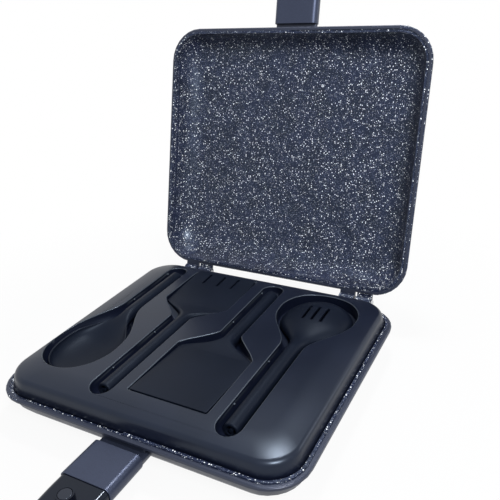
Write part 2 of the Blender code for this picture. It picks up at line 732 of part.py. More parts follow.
def trough_sections(start, length, grown):
    """The trough of a rod: its place along the tool, half width, depth and squareness."""
    rows = []
    half_width = TROUGH_HALF_WIDTH + grown
    depth = TROUGH_DEPTH + grown
    rows.append((start, half_width, depth, TROUGH_SQUARE_SHARE))
    rows.append((length, half_width, depth, TROUGH_SQUARE_SHARE))
    for share, width_share in TROUGH_END_SHARES:
        rows.append((length + (TROUGH_END_ROOM + grown) * share, half_width * width_share,
                     depth * (1 + width_share) / 2, TROUGH_SQUARE_SHARE))
    return rows


def spoon_pocket(half_width, head, length, depth, squareness, grown):
    """Rows of a spoon's pocket, tip first, each with room round the spoon."""
    rows = []
    room = SPOON_ROOM + grown
    wide = half_width + room
    neck = TROUGH_HALF_WIDTH + grown
    for share in HEAD_SHARES:
        width = spoon_width(share, wide, neck)
        blend = ease((share - NECK_START_SHARE) / (1 - NECK_START_SHARE))
        ahead = max(0.0, 1 - share / WIDEST_SHARE)
        bowl = (depth + grown) * (1 - ahead ** squareness) ** (1 / squareness)
        rows.append((-room + share * (head + room), width, bowl + (TROUGH_DEPTH + grown - bowl) * blend,
                     squareness + (TROUGH_SQUARE_SHARE - squareness) * blend ** 3))
    return rows + trough_sections(head + OVERRUN, length, grown)


def turner_pocket(half_width, blade, shoulder, length, grown):
    rows = []
    room = TURNER_ROOM + grown
    wide = half_width + room
    neck = TROUGH_HALF_WIDTH + grown
    under = BLADE_THICKNESS + GAP + grown
    rows.append((-room, wide, blade_drop(0) + under, TURNER_SQUARE_SHARE))
    rows.append((blade - room, wide, blade_drop(1) + under, TURNER_SQUARE_SHARE))
    depth = blade_drop(1) + under
    for share, spread in SHOULDER_SHARES:
        blend = ease(share)
        rows.append((blade + share * shoulder, neck + (wide - neck) * spread,
                     depth + (TROUGH_DEPTH + grown - depth) * blend,
                     TURNER_SQUARE_SHARE + (TROUGH_SQUARE_SHARE - TURNER_SQUARE_SHARE) * blend))
    return rows + trough_sections(blade + shoulder + OVERRUN, length, grown)


def make_pocket(name, rows, tip_y, facing, x, top):
    rings = []
    for s, half_width, depth, squareness in rows:
        y = facing * (tip_y - s)
        rings.append([(x + across, y, z) for across, z in pocket_section(half_width, depth, squareness, top)])
    return loft(name, rings)


def tool_table():
    """Every tool: name, place, the way its tip points, sections, pocket rows and slots."""
    def rod_length(tip):
        return ROD_END_Y + tip

    spoon_deep = ROD_RADIUS - SPOON_RIM + SPOON_DEPTH + POCKET_UNDER
    skimmer_deep = ROD_RADIUS + SKIMMER_RIM + POCKET_UNDER
    return (
        ("serving_spoon", SPOON_X, SPOON_TIP_Y, -1, spoon_sections(SPOON_HALF_WIDTH, SPOON_HEAD, SPOON_RIM),
         lambda grown: spoon_pocket(SPOON_HALF_WIDTH, SPOON_HEAD, rod_length(SPOON_TIP_Y),
                                    spoon_deep, SPOON_SQUARE_SHARE, grown), ()),
        ("slotted_spoon", SKIMMER_X, SKIMMER_TIP_Y, 1,
         spoon_sections(SKIMMER_HALF_WIDTH, SKIMMER_HEAD, SKIMMER_RIM),
         lambda grown: spoon_pocket(SKIMMER_HALF_WIDTH, SKIMMER_HEAD, rod_length(SKIMMER_TIP_Y),
                                    skimmer_deep, SKIMMER_SQUARE_SHARE, grown),
         slot_row(SKIMMER_SLOT_PITCH, SKIMMER_SLOT_FROM_TIP - SKIMMER_SLOT_LENGTH / 2, SKIMMER_SLOT_LENGTH)),
        ("slotted_turner", SLOTTED_X, SLOTTED_TIP_Y, 1,
         turner_sections(SLOTTED_HALF_WIDTH, SLOTTED_BLADE, SLOTTED_SHOULDER),
         lambda grown: turner_pocket(SLOTTED_HALF_WIDTH, SLOTTED_BLADE, SLOTTED_SHOULDER,
                                     rod_length(SLOTTED_TIP_Y), grown),
         slot_row(BLADE_SLOT_PITCH, BLADE_SLOT_FROM_TIP - BLADE_SLOT_LENGTH / 2, BLADE_SLOT_LENGTH)),
        ("solid_turner", SOLID_X, SOLID_TIP_Y, -1, turner_sections(SOLID_HALF_WIDTH, SOLID_BLADE, SOLID_SHOULDER),
         lambda grown: turner_pocket(SOLID_HALF_WIDTH, SOLID_BLADE, SOLID_SHOULDER,
                                     rod_length(SOLID_TIP_Y), grown), ()),
    )


def slot_row(pitch, near, length):
    return tuple((step * pitch, near, near + length) for step in (-1, 0, 1))


def make_nubs(name, x, facing):
    """The snap nubs on both walls of a rod's trough, at two places along it."""
    from_end = NUB_FROM_FRONT_END if facing > 0 else NUB_FROM_BACK_END
    nubs = []
    for k in (0, 1):
        y = -facing * (ROD_END_Y - from_end - k * NUB_PITCH)
        for side in (-1, 1):
            nub = cylinder(f"{name}_nub", NUB_RADIUS, TRAY_WALL / 2 + NUB_REACH, SMALL_ROUND_STEPS // 2)
            start = x + side * (TROUGH_HALF_WIDTH + TRAY_WALL / 2)
            spin = Matrix.Rotation(pi, 4, "Z") if side > 0 else Matrix.Identity(4)
            nubs.append(place(nub, Matrix.Translation((start, y, TRAY_RISE - NUB_DROP)) @ spin @ ALONG_X))
    return nubs


def tray_profile(grown):
    """The tray above the rim, as insets and heights: side, tight shoulder, crease and low crown.

    With a thickness grown, the same for the inside of its wall.
    """
    slope = atan2(2 * TRAY_CROWN_DROP, TRAY_CROWN_WIDTH)
    fall = pi / 2 - TRAY_DRAFT - slope
    side_top = TRAY_RISE - TRAY_CROWN_DROP - TRAY_SHOULDER * (cos(slope) - sin(TRAY_DRAFT))
    centre_inset = side_top * tan(TRAY_DRAFT) + TRAY_SHOULDER * cos(TRAY_DRAFT)
    centre_z = side_top - TRAY_SHOULDER * sin(TRAY_DRAFT)
    rows = []
    for k in range(FILLET_STEPS + 1):
        angle = slope + fall * (1 - k / FILLET_STEPS)
        radius = TRAY_SHOULDER - grown
        rows.append((centre_inset - radius * sin(angle), centre_z + radius * cos(angle)))
    crease = centre_inset - TRAY_SHOULDER * sin(slope)
    for k in range(1, CROWN_STEPS + 1):
        share = k / CROWN_STEPS
        rows.append((crease + TRAY_CROWN_WIDTH * share, TRAY_RISE - grown - TRAY_CROWN_DROP * (1 - share) ** 2))
    return rows


def make_tray(tools):
    """The moulded tray: one wall that forms the skirt, the side, the crown and the pockets."""
    def side(inset, z):
        half_x = MOUTH_X - TRAY_SLACK_X - inset
        half_y = MOUTH_Y - TRAY_SLACK_Y - inset
        return ring_at(half_x, half_y, MOUTH_CORNER - inset / 2, z)

    def shell(grown):
        """Rings of the tray's outside, drawn in by the wall for its inside."""
        skirt_inset = wall_inset(TRAY_SKIRT) + GAP / cos(2 * PAN_DRAFT) - TRAY_SLACK_X + grown
        rings = [side(skirt_inset, -TRAY_SKIRT), side(grown, -RIM_Z)]
        return rings + [side(inset, z) for inset, z in tray_profile(grown)]

    body = loft("tool_tray", shell(0))
    hollow = shell(TRAY_WALL)
    hollow.insert(0, [(x, y, z - OVERRUN) for x, y, z in hollow[0]])
    core = loft("tray_core", hollow)
    for name, x, tip_y, facing, _sections, rows, _slots in tools:
        grown = make_pocket(f"{name}_pocket_wall", rows(TRAY_WALL), tip_y, facing, x, TRAY_RISE + OVERRUN)
        core = combine(core, [grown], "DIFFERENCE")
    body = combine(body, [core], "DIFFERENCE")
    for name, x, tip_y, facing, _sections, rows, _slots in tools:
        pocket = make_pocket(f"{name}_pocket", rows(0), tip_y, facing, x, TRAY_RISE + OVERRUN)
        body = combine(body, [pocket], "DIFFERENCE")
        body = combine(body, make_nubs(name, x, facing), "UNION")
    return body


def dress(piece, look):
    piece.data.materials.clear()
    piece.data.materials.append(look)
    piece.data.shade_smooth()
    piece.data.set_sharp_from_angle(angle=SMOOTH_ANGLE)
    return piece


def build():
    global cutters, parts
    for old in list(bpy.data.objects):
        bpy.data.objects.remove(old, do_unlink=True)
    parts = new_collection("double_pan")
    cutters = new_collection("cutters")

    enamel = material("grey_metallic_paint", (0.075, 0.082, 0.115), 0.35, 0.6)
    plastic = material("black_tray_plastic", (0.022, 0.023, 0.027), 0.42)
    nylon = material("black_nylon", (0.016, 0.017, 0.020), 0.38)
    sleeve_metal = material("sleeve_paint", (0.080, 0.088, 0.125), 0.32, 0.6)
    bakelite = material("black_bakelite", (0.010, 0.011, 0.014), 0.16)
    steel = material("steel", (0.52, 0.53, 0.55), 0.28, 1.0)
    magnet_look = material("magnet_nickel", (0.16, 0.16, 0.18), 0.3, 1.0)

    base = bpy.data.objects.new("base_frame", None)
    base.location = (0, 0, MATE_Z)
    hinge = bpy.data.objects.new("lid_hinge", None)
    hinge.location = (0, HINGE_Y, MATE_Z)
    hinge.rotation_euler = (-OPEN_ANGLE, 0, 0)
    for empty in (base, hinge):
        parts.objects.link(empty)

    patterns = (
        ("pan", make_casting(), enamel), ("sleeve", make_sleeve(), sleeve_metal), ("grip", make_grip(), bakelite),
        ("handle_bolt", make_bolt(), steel), ("bolt_washer", make_washer(), steel),
        ("magnet", make_magnet(), magnet_look))
    turned_over = Matrix.Rotation(pi, 4, "Y")
    for name, pattern, look in patterns:
        dress(pattern, look)
        pattern.name = f"base_{name}"
        pattern.parent = base
        twin = add_object(f"lid_{name}", pattern.data, parts)
        twin.parent = hinge
        twin.matrix_local = Matrix.Translation((0, -HINGE_Y, 0)) @ turned_over

    pin = dress(make_pin(), steel)
    pin.name = "hinge_pin_right"
    pin.location = (HINGE_INNER, HINGE_Y, 0)
    pin.parent = base
    other = add_object("hinge_pin_left", pin.data, parts)
    other.location = (-HINGE_INNER, HINGE_Y, 0)
    other.rotation_euler = (0, 0, pi)
    other.parent = base

    tools = tool_table()
    tray = dress(make_tray(tools), plastic)
    tray.parent = base
    for name, x, tip_y, facing, sections, _rows, slots in tools:
        cuts = [slot_cutter(f"{name}_slot_{k}", *slot) for k, slot in enumerate(slots)]
        piece = dress(make_tool(name, sections, ROD_END_Y + tip_y, cuts), nylon)
        piece.parent = base
        piece.location = (x, facing * tip_y, ROD_AXIS_Z)
        flipped = Matrix.Rotation(pi, 4, "Y") if name == "slotted_spoon" else Matrix.Identity(4)
        heading = Matrix.Rotation(0 if facing > 0 else pi, 4, "Z")
        piece.matrix_local = Matrix.Translation(Vector(piece.location)) @ heading @ flipped


build()
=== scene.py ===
"""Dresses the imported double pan: speckled castings, moulded tray, nylon tools and handles."""

import json
from math import atan2, cos, pi, radians, sin, sqrt, tan

import bmesh
import bpy
from bpy.props import FloatProperty, FloatVectorProperty, IntProperty, PointerProperty
from mathutils import Matrix, Vector

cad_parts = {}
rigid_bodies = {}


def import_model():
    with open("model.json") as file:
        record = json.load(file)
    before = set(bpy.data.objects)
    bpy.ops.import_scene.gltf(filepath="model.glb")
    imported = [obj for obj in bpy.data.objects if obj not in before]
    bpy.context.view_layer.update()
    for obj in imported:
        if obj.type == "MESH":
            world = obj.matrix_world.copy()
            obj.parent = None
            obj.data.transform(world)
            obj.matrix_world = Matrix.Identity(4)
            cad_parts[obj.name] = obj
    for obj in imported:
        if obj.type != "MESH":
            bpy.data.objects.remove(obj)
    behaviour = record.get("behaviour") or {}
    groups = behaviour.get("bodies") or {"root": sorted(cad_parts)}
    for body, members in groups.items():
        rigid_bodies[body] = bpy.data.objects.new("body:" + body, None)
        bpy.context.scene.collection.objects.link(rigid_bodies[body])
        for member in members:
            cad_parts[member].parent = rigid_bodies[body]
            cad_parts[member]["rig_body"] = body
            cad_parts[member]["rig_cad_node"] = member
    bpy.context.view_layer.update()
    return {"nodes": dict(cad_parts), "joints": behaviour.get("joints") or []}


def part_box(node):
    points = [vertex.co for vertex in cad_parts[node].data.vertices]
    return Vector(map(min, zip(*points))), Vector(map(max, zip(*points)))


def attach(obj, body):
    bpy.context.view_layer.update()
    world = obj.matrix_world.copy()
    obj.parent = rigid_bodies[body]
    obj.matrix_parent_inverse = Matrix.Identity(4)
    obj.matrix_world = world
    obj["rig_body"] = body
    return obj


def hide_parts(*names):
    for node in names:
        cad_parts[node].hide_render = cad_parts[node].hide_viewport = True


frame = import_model()

bl_info = {
    "name": "Folding Double Pan",
    "version": (1, 0, 0),
    "blender": (4, 5, 0),
    "location": "View3D > Sidebar > Double Pan",
    "description": "Coated castings, tool tray, tools and handles of a folding double pan",
    "category": "Add Mesh",
}

# Places that the frame gives
PAN_LOW, PAN_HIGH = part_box("base_pan")
TRAY_LOW, TRAY_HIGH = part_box("tool_tray")
SLEEVE_LOW, SLEEVE_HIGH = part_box("base_sleeve")
GRIP_LOW, GRIP_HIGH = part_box("base_grip")
MAGNET_LOW, MAGNET_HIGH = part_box("base_magnet")
HINGE = next(joint for joint in frame["joints"] if joint["name"] == "lid_hinge")
HINGE_POINT = Vector(HINGE["pos_m"])
OPEN_ANGLE = -radians(HINGE["range_deg"][0])
MATE_Z = HINGE_POINT.z
TRAY_TOP = TRAY_HIGH.z
# A casting's copy, as it is made for the base, turned over and opened about the hinge
TO_LID = (Matrix.Translation(HINGE_POINT) @ Matrix.Rotation(-OPEN_ANGLE, 4, "X")
          @ Matrix.Translation((0, -HINGE_POINT.y, 0)) @ Matrix.Rotation(pi, 4, "Y")
          @ Matrix.Translation((0, 0, -MATE_Z)))

# How finely curved forms are cut
SECTION_STEPS = 24
HEAD_STEPS = 44
END_STEPS = 12
CORNER_STEPS = 20

# Squareness of the rod troughs' section
TROUGH_SQUARE = 2.6
# Where the pockets' edges that get a painted highlight end, from the tray's outside and below its top
LIP_REACH = 0.014
LIP_DEPTH = 0.0036
# First nub from a rod's end, for tools that point back and forward, and how deep nubs sit in the wall
NUB_FROM_END = {1: 0.0245, -1: 0.0030}
NUB_SUNK = 0.0003
# Radii on the edges of tools, grips and magnets
TOOL_EDGE = 0.00025
GRIP_EDGE = 0.0006
MAGNET_EDGE = 0.0004
# Wall of the magnet's post, and radius of the bolt's bore
POST_WALL = 0.0015
BOLT_BORE = 0.0028

# The camera that took the photo, found from the rims and pockets
CAMERA_PLACE = (0.25835, -0.38274, 0.33494)
CAMERA_TURN = (radians(64.490), radians(3.390), radians(28.283))
CAMERA_LENS = 43.502
CAMERA_SHIFT = (0.02243, 0.02254)


def metres(name, description, default):
    return FloatProperty(name=name, description=description, default=default, unit="LENGTH")


def watts(name, description, default):
    return FloatProperty(name=name, description=description, default=default, unit="POWER")


def swatch(name, description, default):
    return FloatVectorProperty(name=name, description=description, default=default, subtype="COLOR")


class PanSizes(bpy.types.PropertyGroup):
    edge_round: metres("Edge round", "Radius on the casting's edges", 0.00035)
    flange_width: metres("Rim width", "Width of the rim", 0.0056)
    tongue: metres("Tongue", "Width of the tongue along the mouth", 0.0023)
    corner: metres("Corner", "Radius of the rim's corners", 0.0328)
    setback: metres("Hinge setback", "From the rim's back edge to the hinge", 0.0081)


class TraySizes(bpy.types.PropertyGroup):
    wall: metres("Wall", "Thickness of the moulding", 0.0018)
    shoulder: metres("Shoulder", "Radius from the side to the crown", 0.005)
    crown_drop: metres("Crown drop", "How far the crown falls to the shoulder", 0.0026)
    crown_width: metres("Crown width", "From the shoulder in to the flat top", 0.022)
    draft: FloatProperty(name="Draft", description="Lean of the sides", default=radians(13.5), subtype="ANGLE")
    corner: metres("Corner", "Radius of the corners seen from above", 0.0272)
    skirt_inset: metres("Skirt inset", "How far the skirt draws in", 0.0031)
    lip: metres("Lip", "Radius along the pockets' edges", 0.0008)
    nub: metres("Nub", "Radius of the snap nubs", 0.0011)
    nub_drop: metres("Nub drop", "From the top down to the nubs", 0.0035)
    nub_pitch: metres("Nub pitch", "Between two nubs of a trough", 0.060)


class ToolSizes(bpy.types.PropertyGroup):
    rod: metres("Rod", "Radius of the handles", 0.0065)
    end: metres("Rod end", "From the middle of the tray to the rods' ends", 0.0955)
    end_round: metres("End round", "Radius on the rod's end", 0.0012)
    bore: metres("Bore", "Radius of the hollow end", 0.0043)
    bore_depth: metres("Bore depth", "Depth of the hollow end", 0.009)
    core: metres("Core", "Radius of the post in the bore", 0.0017)
    wall: metres("Bowl wall", "Thickness of the spoons' bowls", 0.0022)
    rim: metres("Rim", "From the rod's axis up to the serving spoon's rim", 0.0012)
    over_rim: metres("Slotted rim", "From the rod's axis down to the slotted spoon's rim", 0.0055)
    depth: metres("Bowl depth", "Outer depth of the spoons' bowls", 0.0145)
    blade: metres("Blade", "Thickness of the turners' blades", 0.0022)
    blade_drop: metres("Blade drop", "From the tray's top down to a blade's shoulder", 0.0028)
    tip_rise: metres("Tip rise", "From the tray's top up to a blade's tip", 0.0003)
    slot: metres("Slot", "Width of the slots", 0.0028)
    trough: metres("Trough", "Half width of the rods' troughs", 0.0105)
    trough_end: metres("Trough end", "Room past the rod's end", 0.0115)
    room_under: metres("Room under", "Clearance below a spoon", 0.0008)
    gap: metres("Gap", "Clearance between neighbours", 0.0003)


class HandleSizes(bpy.types.PropertyGroup):
    sleeve_wall: metres("Sleeve wall", "Thickness of the sleeve", 0.0013)
    top_round: metres("Inner round", "Corner radius on the flat side", 0.005)
    bottom_round: metres("Outer round", "Corner radius on the palm side", 0.0085)
    step: metres("Step", "From the sleeve down to the grip", 0.001)
    tenon: metres("Tenon", "Length of grip inside the sleeve", 0.018)
    edge: metres("Edge", "Radius on sleeve and grip edges", 0.0004)
    slot_length: metres("Hanging slot", "Length of the hanging slot", 0.020)
    slot_width: metres("Slot width", "Width of the hanging slot", 0.009)
    slot_from_end: metres("Slot place", "From the grip's end to the slot's middle", 0.019)


class Finishes(bpy.types.PropertyGroup):
    coating: swatch("Coating", "Ground of the speckled coating", (0.0064, 0.0092, 0.0245))
    speck: swatch("Specks", "Colour of the bright specks", (0.91, 0.955, 1.0))
    fleck: swatch("Flecks", "Colour of the fine flecks", (0.28, 0.33, 0.46))
    paint: swatch("Paint", "Metallic paint of castings and sleeves", (0.037, 0.047, 0.083))
    tray: swatch("Tray", "Moulded plastic of the tray", (0.0032, 0.0046, 0.0115))
    nylon: swatch("Nylon", "Nylon of the tools", (0.003, 0.0045, 0.0095))
    grip: swatch("Grip", "Bakelite of the grips", (0.003, 0.004, 0.008))
    # The sheen tint also colours the painted highlight on the tray's pocket lips.
    sheen: swatch("Sheen tint", "Tint of the plastics' and the coating's reflections", (0.66, 0.80, 1.0))
    steel: swatch("Steel", "Pins, bolts and washers", (0.55, 0.56, 0.58))


class StageSettings(bpy.types.PropertyGroup):
    sky: FloatProperty(name="Sky", description="Strength of the even light from above", default=0.72)
    horizon: FloatProperty(name="Horizon", description="Strength of the even light from the sides", default=0.22)
    back: watts("Back lamp", "Power of the lamp above and behind", 5.8)
    side: watts("Side lamp", "Power of the lamp at the right", 22.0)
    rim: watts("Rim lamp", "Power of the low lamp behind and to the right", 1.4)
    floor: swatch("Floor", "Colour of the floor", (0.45, 0.45, 0.46))
    size: IntProperty(name="Floor size", description="Side of the floor in metres", default=12)


# Modelling


def settings(name):
    return getattr(bpy.context.scene, name)


def deselect():
    if bpy.context.object and bpy.context.object.mode != "OBJECT":
        bpy.ops.object.mode_set(mode="OBJECT")
    bpy.ops.object.select_all(action="DESELECT")


def choose(piece):
    """Make one piece the only one selected."""
    deselect()
    piece.select_set(True)
    bpy.context.view_layer.objects.active = piece


def new_piece(name):
    """Name the primitive that was just added and fix its place in its mesh."""
    piece = bpy.context.object
    piece.name = name
    piece.data.name = name
    bpy.ops.object.transform_apply(location=True, rotation=True, scale=True)
    return piece


def loft(name, rings):
    """A solid extruded from ring to ring. All rings have as many points, and none repeats one."""
    deselect()
    bpy.ops.mesh.primitive_circle_add(vertices=len(rings[0]), fill_type="NGON")
    piece = new_piece(name)
    bpy.ops.object.mode_set(mode="EDIT")
    bm = bmesh.from_edit_mesh(piece.data)
    face = next(iter(bm.faces))
    for vert, point in zip(list(face.verts), rings[0]):
        vert.co = point
    places = {tuple(vert.co): k for k, vert in enumerate(face.verts)}
    for ring in rings[1:]:
        bmesh.update_edit_mesh(piece.data)
        bpy.ops.mesh.extrude_region_move()
        bm = bmesh.from_edit_mesh(piece.data)
        moved = [(vert, places[tuple(vert.co)]) for vert in bm.verts if vert.select]
        for vert, k in moved:
            vert.co = ring[k]
        places = {tuple(vert.co): k for vert, k in moved}
    bmesh.update_edit_mesh(piece.data)
    bpy.ops.mesh.select_all(action="SELECT")
    bpy.ops.mesh.normals_make_consistent(inside=False)
    bpy.ops.object.mode_set(mode="OBJECT")
    return piece


def apply_modifier(piece, kind, **values):
    choose(piece)
    modifier = piece.modifiers.new(kind.title(), kind)
    for key, value in values.items():
        setattr(modifier, key, value)
    bpy.ops.object.modifier_apply(modifier=modifier.name)


def combine(piece, tool, operation):
    """Cut a tool out of the piece, or join it on, and remove the tool."""
    apply_modifier(piece, "BOOLEAN", object=tool, operation=operation, solver="EXACT")
    bpy.data.objects.remove(tool, do_unlink=True)


def round_edges(piece, width, angle=radians(50), segments=3, clamp=True):
    """Round every edge sharper than an angle, then shade it smooth."""
    apply_modifier(piece, "BEVEL", width=width, segments=segments, limit_method="ANGLE", angle_limit=angle,
                   miter_outer="MITER_ARC", use_clamp_overlap=clamp)
    if not clamp:
        bpy.ops.object.mode_set(mode="EDIT")
        bpy.ops.mesh.select_all(action="SELECT")
        bpy.ops.mesh.remove_doubles(threshold=0.000002)
        bpy.ops.mesh.normals_make_consistent(inside=False)
        bpy.ops.object.mode_set(mode="OBJECT")
    smooth(piece)


def smooth(piece, angle=radians(38)):
    choose(piece)
    bpy.ops.object.shade_smooth_by_angle(angle=angle)
    apply_modifier(piece, "WEIGHTED_NORMAL", keep_sharp=True, weight=80)


def rod_tool(name, radius, start, length, axis, steps=48):
    """A round cutter or core from a start point along an axis."""
    deselect()
    middle = Vector(start) + Vector(axis) * length / 2
    turn = Vector(axis).to_track_quat("Z", "Y").to_euler()
    bpy.ops.mesh.primitive_cylinder_add(vertices=steps, radius=radius, depth=length, location=middle, rotation=turn)
    return new_piece(name)


def stadium(name, width, length, height, middle):
    """A round-ended block along Y, for slots."""
    deselect()
    bpy.ops.mesh.primitive_cube_add(size=1, location=middle, scale=(width, length, height))
    piece = new_piece(name)
    bpy.ops.object.mode_set(mode="EDIT")
    bpy.ops.mesh.select_all(action="DESELECT")
    bm = bmesh.from_edit_mesh(piece.data)
    for edge in bm.edges:
        along = edge.verts[0].co - edge.verts[1].co
        edge.select_set(abs(along.z) > height / 2)
    bm.select_flush_mode()
    bmesh.update_edit_mesh(piece.data)
    bpy.ops.mesh.bevel(offset=width / 2 * 0.999, segments=8, affect="EDGES")
    bpy.ops.object.mode_set(mode="OBJECT")
    return piece


def dress(piece, look, body):
    piece.data.materials.clear()
    piece.data.materials.append(look)
    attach(piece, body)


def second_copy(piece, name, matrix):
    """A copy with its own mesh, moved by a matrix."""
    choose(piece)
    bpy.ops.object.duplicate()
    copy = bpy.context.object
    copy.name = name
    copy.data.name = name
    copy.parent = None
    copy.matrix_world = Matrix.Identity(4)
    copy.data.transform(matrix)
    return copy


# Forms that the tray's pockets share with the tools


def ease(share):
    share = min(1.0, max(0.0, share))
    return share * share * (3 - 2 * share)


def power(value, exponent):
    return abs(value) ** exponent * (1 if value >= 0 else -1)


class Tool:
    """One tool's plan: the middle of its rod, its tip, and which way that points along Y."""

    WIDEST_SHARE = 0.36
    DRAW_IN_SHARE = 1.25
    NECK_SHARE = 0.50

    def __init__(self, name, x, tip, facing, half_width, head, shoulder=0.0, over=False, slots=None, square=2.3,
                 room=0.0035):
        self.name = name
        self.x = x
        self.tip = tip
        self.facing = facing
        self.half_width = half_width
        self.head = head
        self.shoulder = shoulder
        self.over = over
        self.slots = slots
        self.square = square
        self.room = room

    @property
    def is_spoon(self):
        return self.shoulder == 0

    @property
    def length(self):
        return settings("pan_tools").end + self.tip

    def place(self, x, s, z):
        return Vector((self.x + x, self.facing * (self.tip - s), z))

    def spoon_width(self, share, half_width, neck):
        widest = self.WIDEST_SHARE
        if share < widest:
            return half_width * sqrt(max(0.0, 1 - ((widest - share) / widest) ** 2))
        draw = ((share - widest) / (1 - widest)) ** self.DRAW_IN_SHARE
        return neck + (half_width - neck) * (1 + cos(pi * draw)) / 2

    def head_shares(self):
        """Shares along a spoon's head, close together at its tip."""
        return [max(0.0006, (1 - cos(pi / 2 * k / HEAD_STEPS)) ** 0.8) for k in range(HEAD_STEPS + 1)]


def tools():
    """The four tools in the order that they lie, left to right."""
    return (
        Tool("serving_spoon", -0.0955, 0.0900, -1, 0.030, 0.110),
        Tool("slotted_turner", -0.0390, 0.1075, 1, 0.0342, 0.062, shoulder=0.028, slots=(0.0165, 0.013, 0.019),
             square=26.0, room=0.0011),
        Tool("solid_turner", 0.0196, 0.0920, -1, 0.0356, 0.0720, shoulder=0.030, square=26.0, room=0.0011),
        Tool("slotted_spoon", 0.0772, 0.1050, 1, 0.0335, 0.094, over=True, slots=(0.0085, 0.036, 0.024),
             square=14.0),
    )


# How a shoulder narrows from blade to rod: place along it and how much of the width is left
SHOULDER_SHARES = ((0.0, 0.985), (0.04, 0.975), (0.28, 0.75), (0.60, 0.38), (0.85, 0.10), (1.0, 0.0))


def shoulder_spread(share):
    """The shoulder's width at a share of its length, as straight runs joined by short curves."""
    for (a, first), (b, second) in zip(SHOULDER_SHARES, SHOULDER_SHARES[1:]):
        if share <= b:
            return first + (second - first) * (share - a) / (b - a)
    return 0.0


def blade_stations(half_width, blade, corner, extra):
    """Places along a turner's blade from its tip, with the half width and the drop below the tray's top."""
    sizes = settings("pan_tools")
    places = []
    for k in range(END_STEPS // 2 + 1):
        angle = pi / 2 * k / (END_STEPS // 2)
        places.append((-extra + corner * (1 - cos(angle)), half_width - corner * (1 - sin(angle))))
    places += [(blade * 0.55, half_width), (blade - extra, half_width)]
    rows = []
    for s, width in places:
        share = (s + extra) / blade
        rows.append((s, width, sizes.blade_drop * share - sizes.tip_rise * (1 - share)))
    return rows


# The tray


def pocket_section(half_width, depth, square, top):
    """A pocket's section in X and Z, from its right lip under its floor to its left lip."""
    points = [(half_width, top)]
    for k in range(SECTION_STEPS + 1):
        angle = pi * k / SECTION_STEPS
        down = sin(angle) if 0 < k < SECTION_STEPS else 0.0
        points.append((half_width * power(cos(angle), 2 / square), TRAY_TOP - depth * down ** (2 / square)))
    points.append((-half_width, top))
    return points


def pocket_rows(tool, grown):
    """Places along a tool, with its pocket's half width, depth and squareness there."""
    sizes = settings("pan_tools")
    room = tool.room + grown
    wide = tool.half_width + room
    neck = sizes.trough + grown
    trough_depth = 2 * sizes.rod + sizes.gap + grown
    rows = []
    if tool.is_spoon:
        full = sizes.rod + sizes.over_rim + sizes.room_under + grown
        if not tool.over:
            full = sizes.rod - sizes.rim + sizes.depth + sizes.room_under + grown
        for share in tool.head_shares():
            blend = ease((share - tool.NECK_SHARE) / (1 - tool.NECK_SHARE))
            ahead = max(0.0, 1 - share / tool.WIDEST_SHARE)
            depth = max(grown, full * (1 - ahead ** tool.square) ** (1 / tool.square))
            rows.append((-room + share * (tool.head + room), max(0.0008, tool.spoon_width(share, wide, neck)),
                         depth + (trough_depth - depth) * blend,
                         tool.square + (TROUGH_SQUARE - tool.square) * blend ** 3))
        start = tool.head
    else:
        under = sizes.blade + sizes.gap + grown
        corner = 0.0016 + grown
        for s, width, drop in blade_stations(wide, tool.head, corner, room):
            rows.append((s, width, drop + under, tool.square))
        depth = sizes.blade_drop + under
        for k in range(HEAD_STEPS // 2 + 1):
            share = k / (HEAD_STEPS // 2)
            blend = ease(share)
            rows.append((tool.head + share * tool.shoulder, neck + (wide - neck) * shoulder_spread(share),
                         depth + (trough_depth - depth) * blend,
                         tool.square + (TROUGH_SQUARE - tool.square) * blend))
        start = tool.head + tool.shoulder
    middle = (start + tool.length) / 2
    rows.append((middle, neck, trough_depth, TROUGH_SQUARE))
    rows.append((tool.length, neck, trough_depth, TROUGH_SQUARE))
    reach = sizes.trough_end + grown
    for k in range(1, END_STEPS + 1):
        angle = pi / 2 * k / END_STEPS
        width = max(0.08, cos(angle))
        rows.append((tool.length + reach * sin(angle), neck * width, trough_depth * (1 + width) / 2,
                     TROUGH_SQUARE))
    return rows


def make_pocket(tool, name, grown, top):
    rings = []
    for s, half_width, depth, square in pocket_rows(tool, grown):
        rings.append([tool.place(x, s, z) for x, z in pocket_section(half_width, depth, square, top)])
    return loft(name, rings)


def outline(half_x, half_y, corner, z):
    points = []
    for turn, (sx, sy) in enumerate(((1, 1), (-1, 1), (-1, -1), (1, -1))):
        for k in range(CORNER_STEPS + 1):
            angle = (turn + k / CORNER_STEPS) * pi / 2
            points.append(Vector((sx * (half_x - corner) + corner * cos(angle),
                                  sy * (half_y - corner) + corner * sin(angle), z)))
    return points


def tray_profile(grown):
    """The tray above the pan's rim, as insets and heights: side, shoulder and low crown."""
    sizes = settings("pan_tray")
    slope = atan2(2 * sizes.crown_drop, sizes.crown_width)
    side_top = TRAY_TOP - MATE_Z - sizes.crown_drop - sizes.shoulder * (cos(slope) - sin(sizes.draft))
    centre_inset = side_top * tan(sizes.draft) + sizes.shoulder * cos(sizes.draft)
    centre_z = MATE_Z + side_top - sizes.shoulder * sin(sizes.draft)
    radius = sizes.shoulder - grown
    rows = []
    for k in range(END_STEPS + 1):
        angle = slope + (pi / 2 - sizes.draft - slope) * (1 - k / END_STEPS)
        rows.append((centre_inset - radius * sin(angle), centre_z + radius * cos(angle)))
    crease = centre_inset - sizes.shoulder * sin(slope)
    for k in range(1, END_STEPS + 1):
        share = k / END_STEPS
        rows.append((crease + sizes.crown_width * share, TRAY_TOP - grown - sizes.crown_drop * (1 - share) ** 2))
    return rows


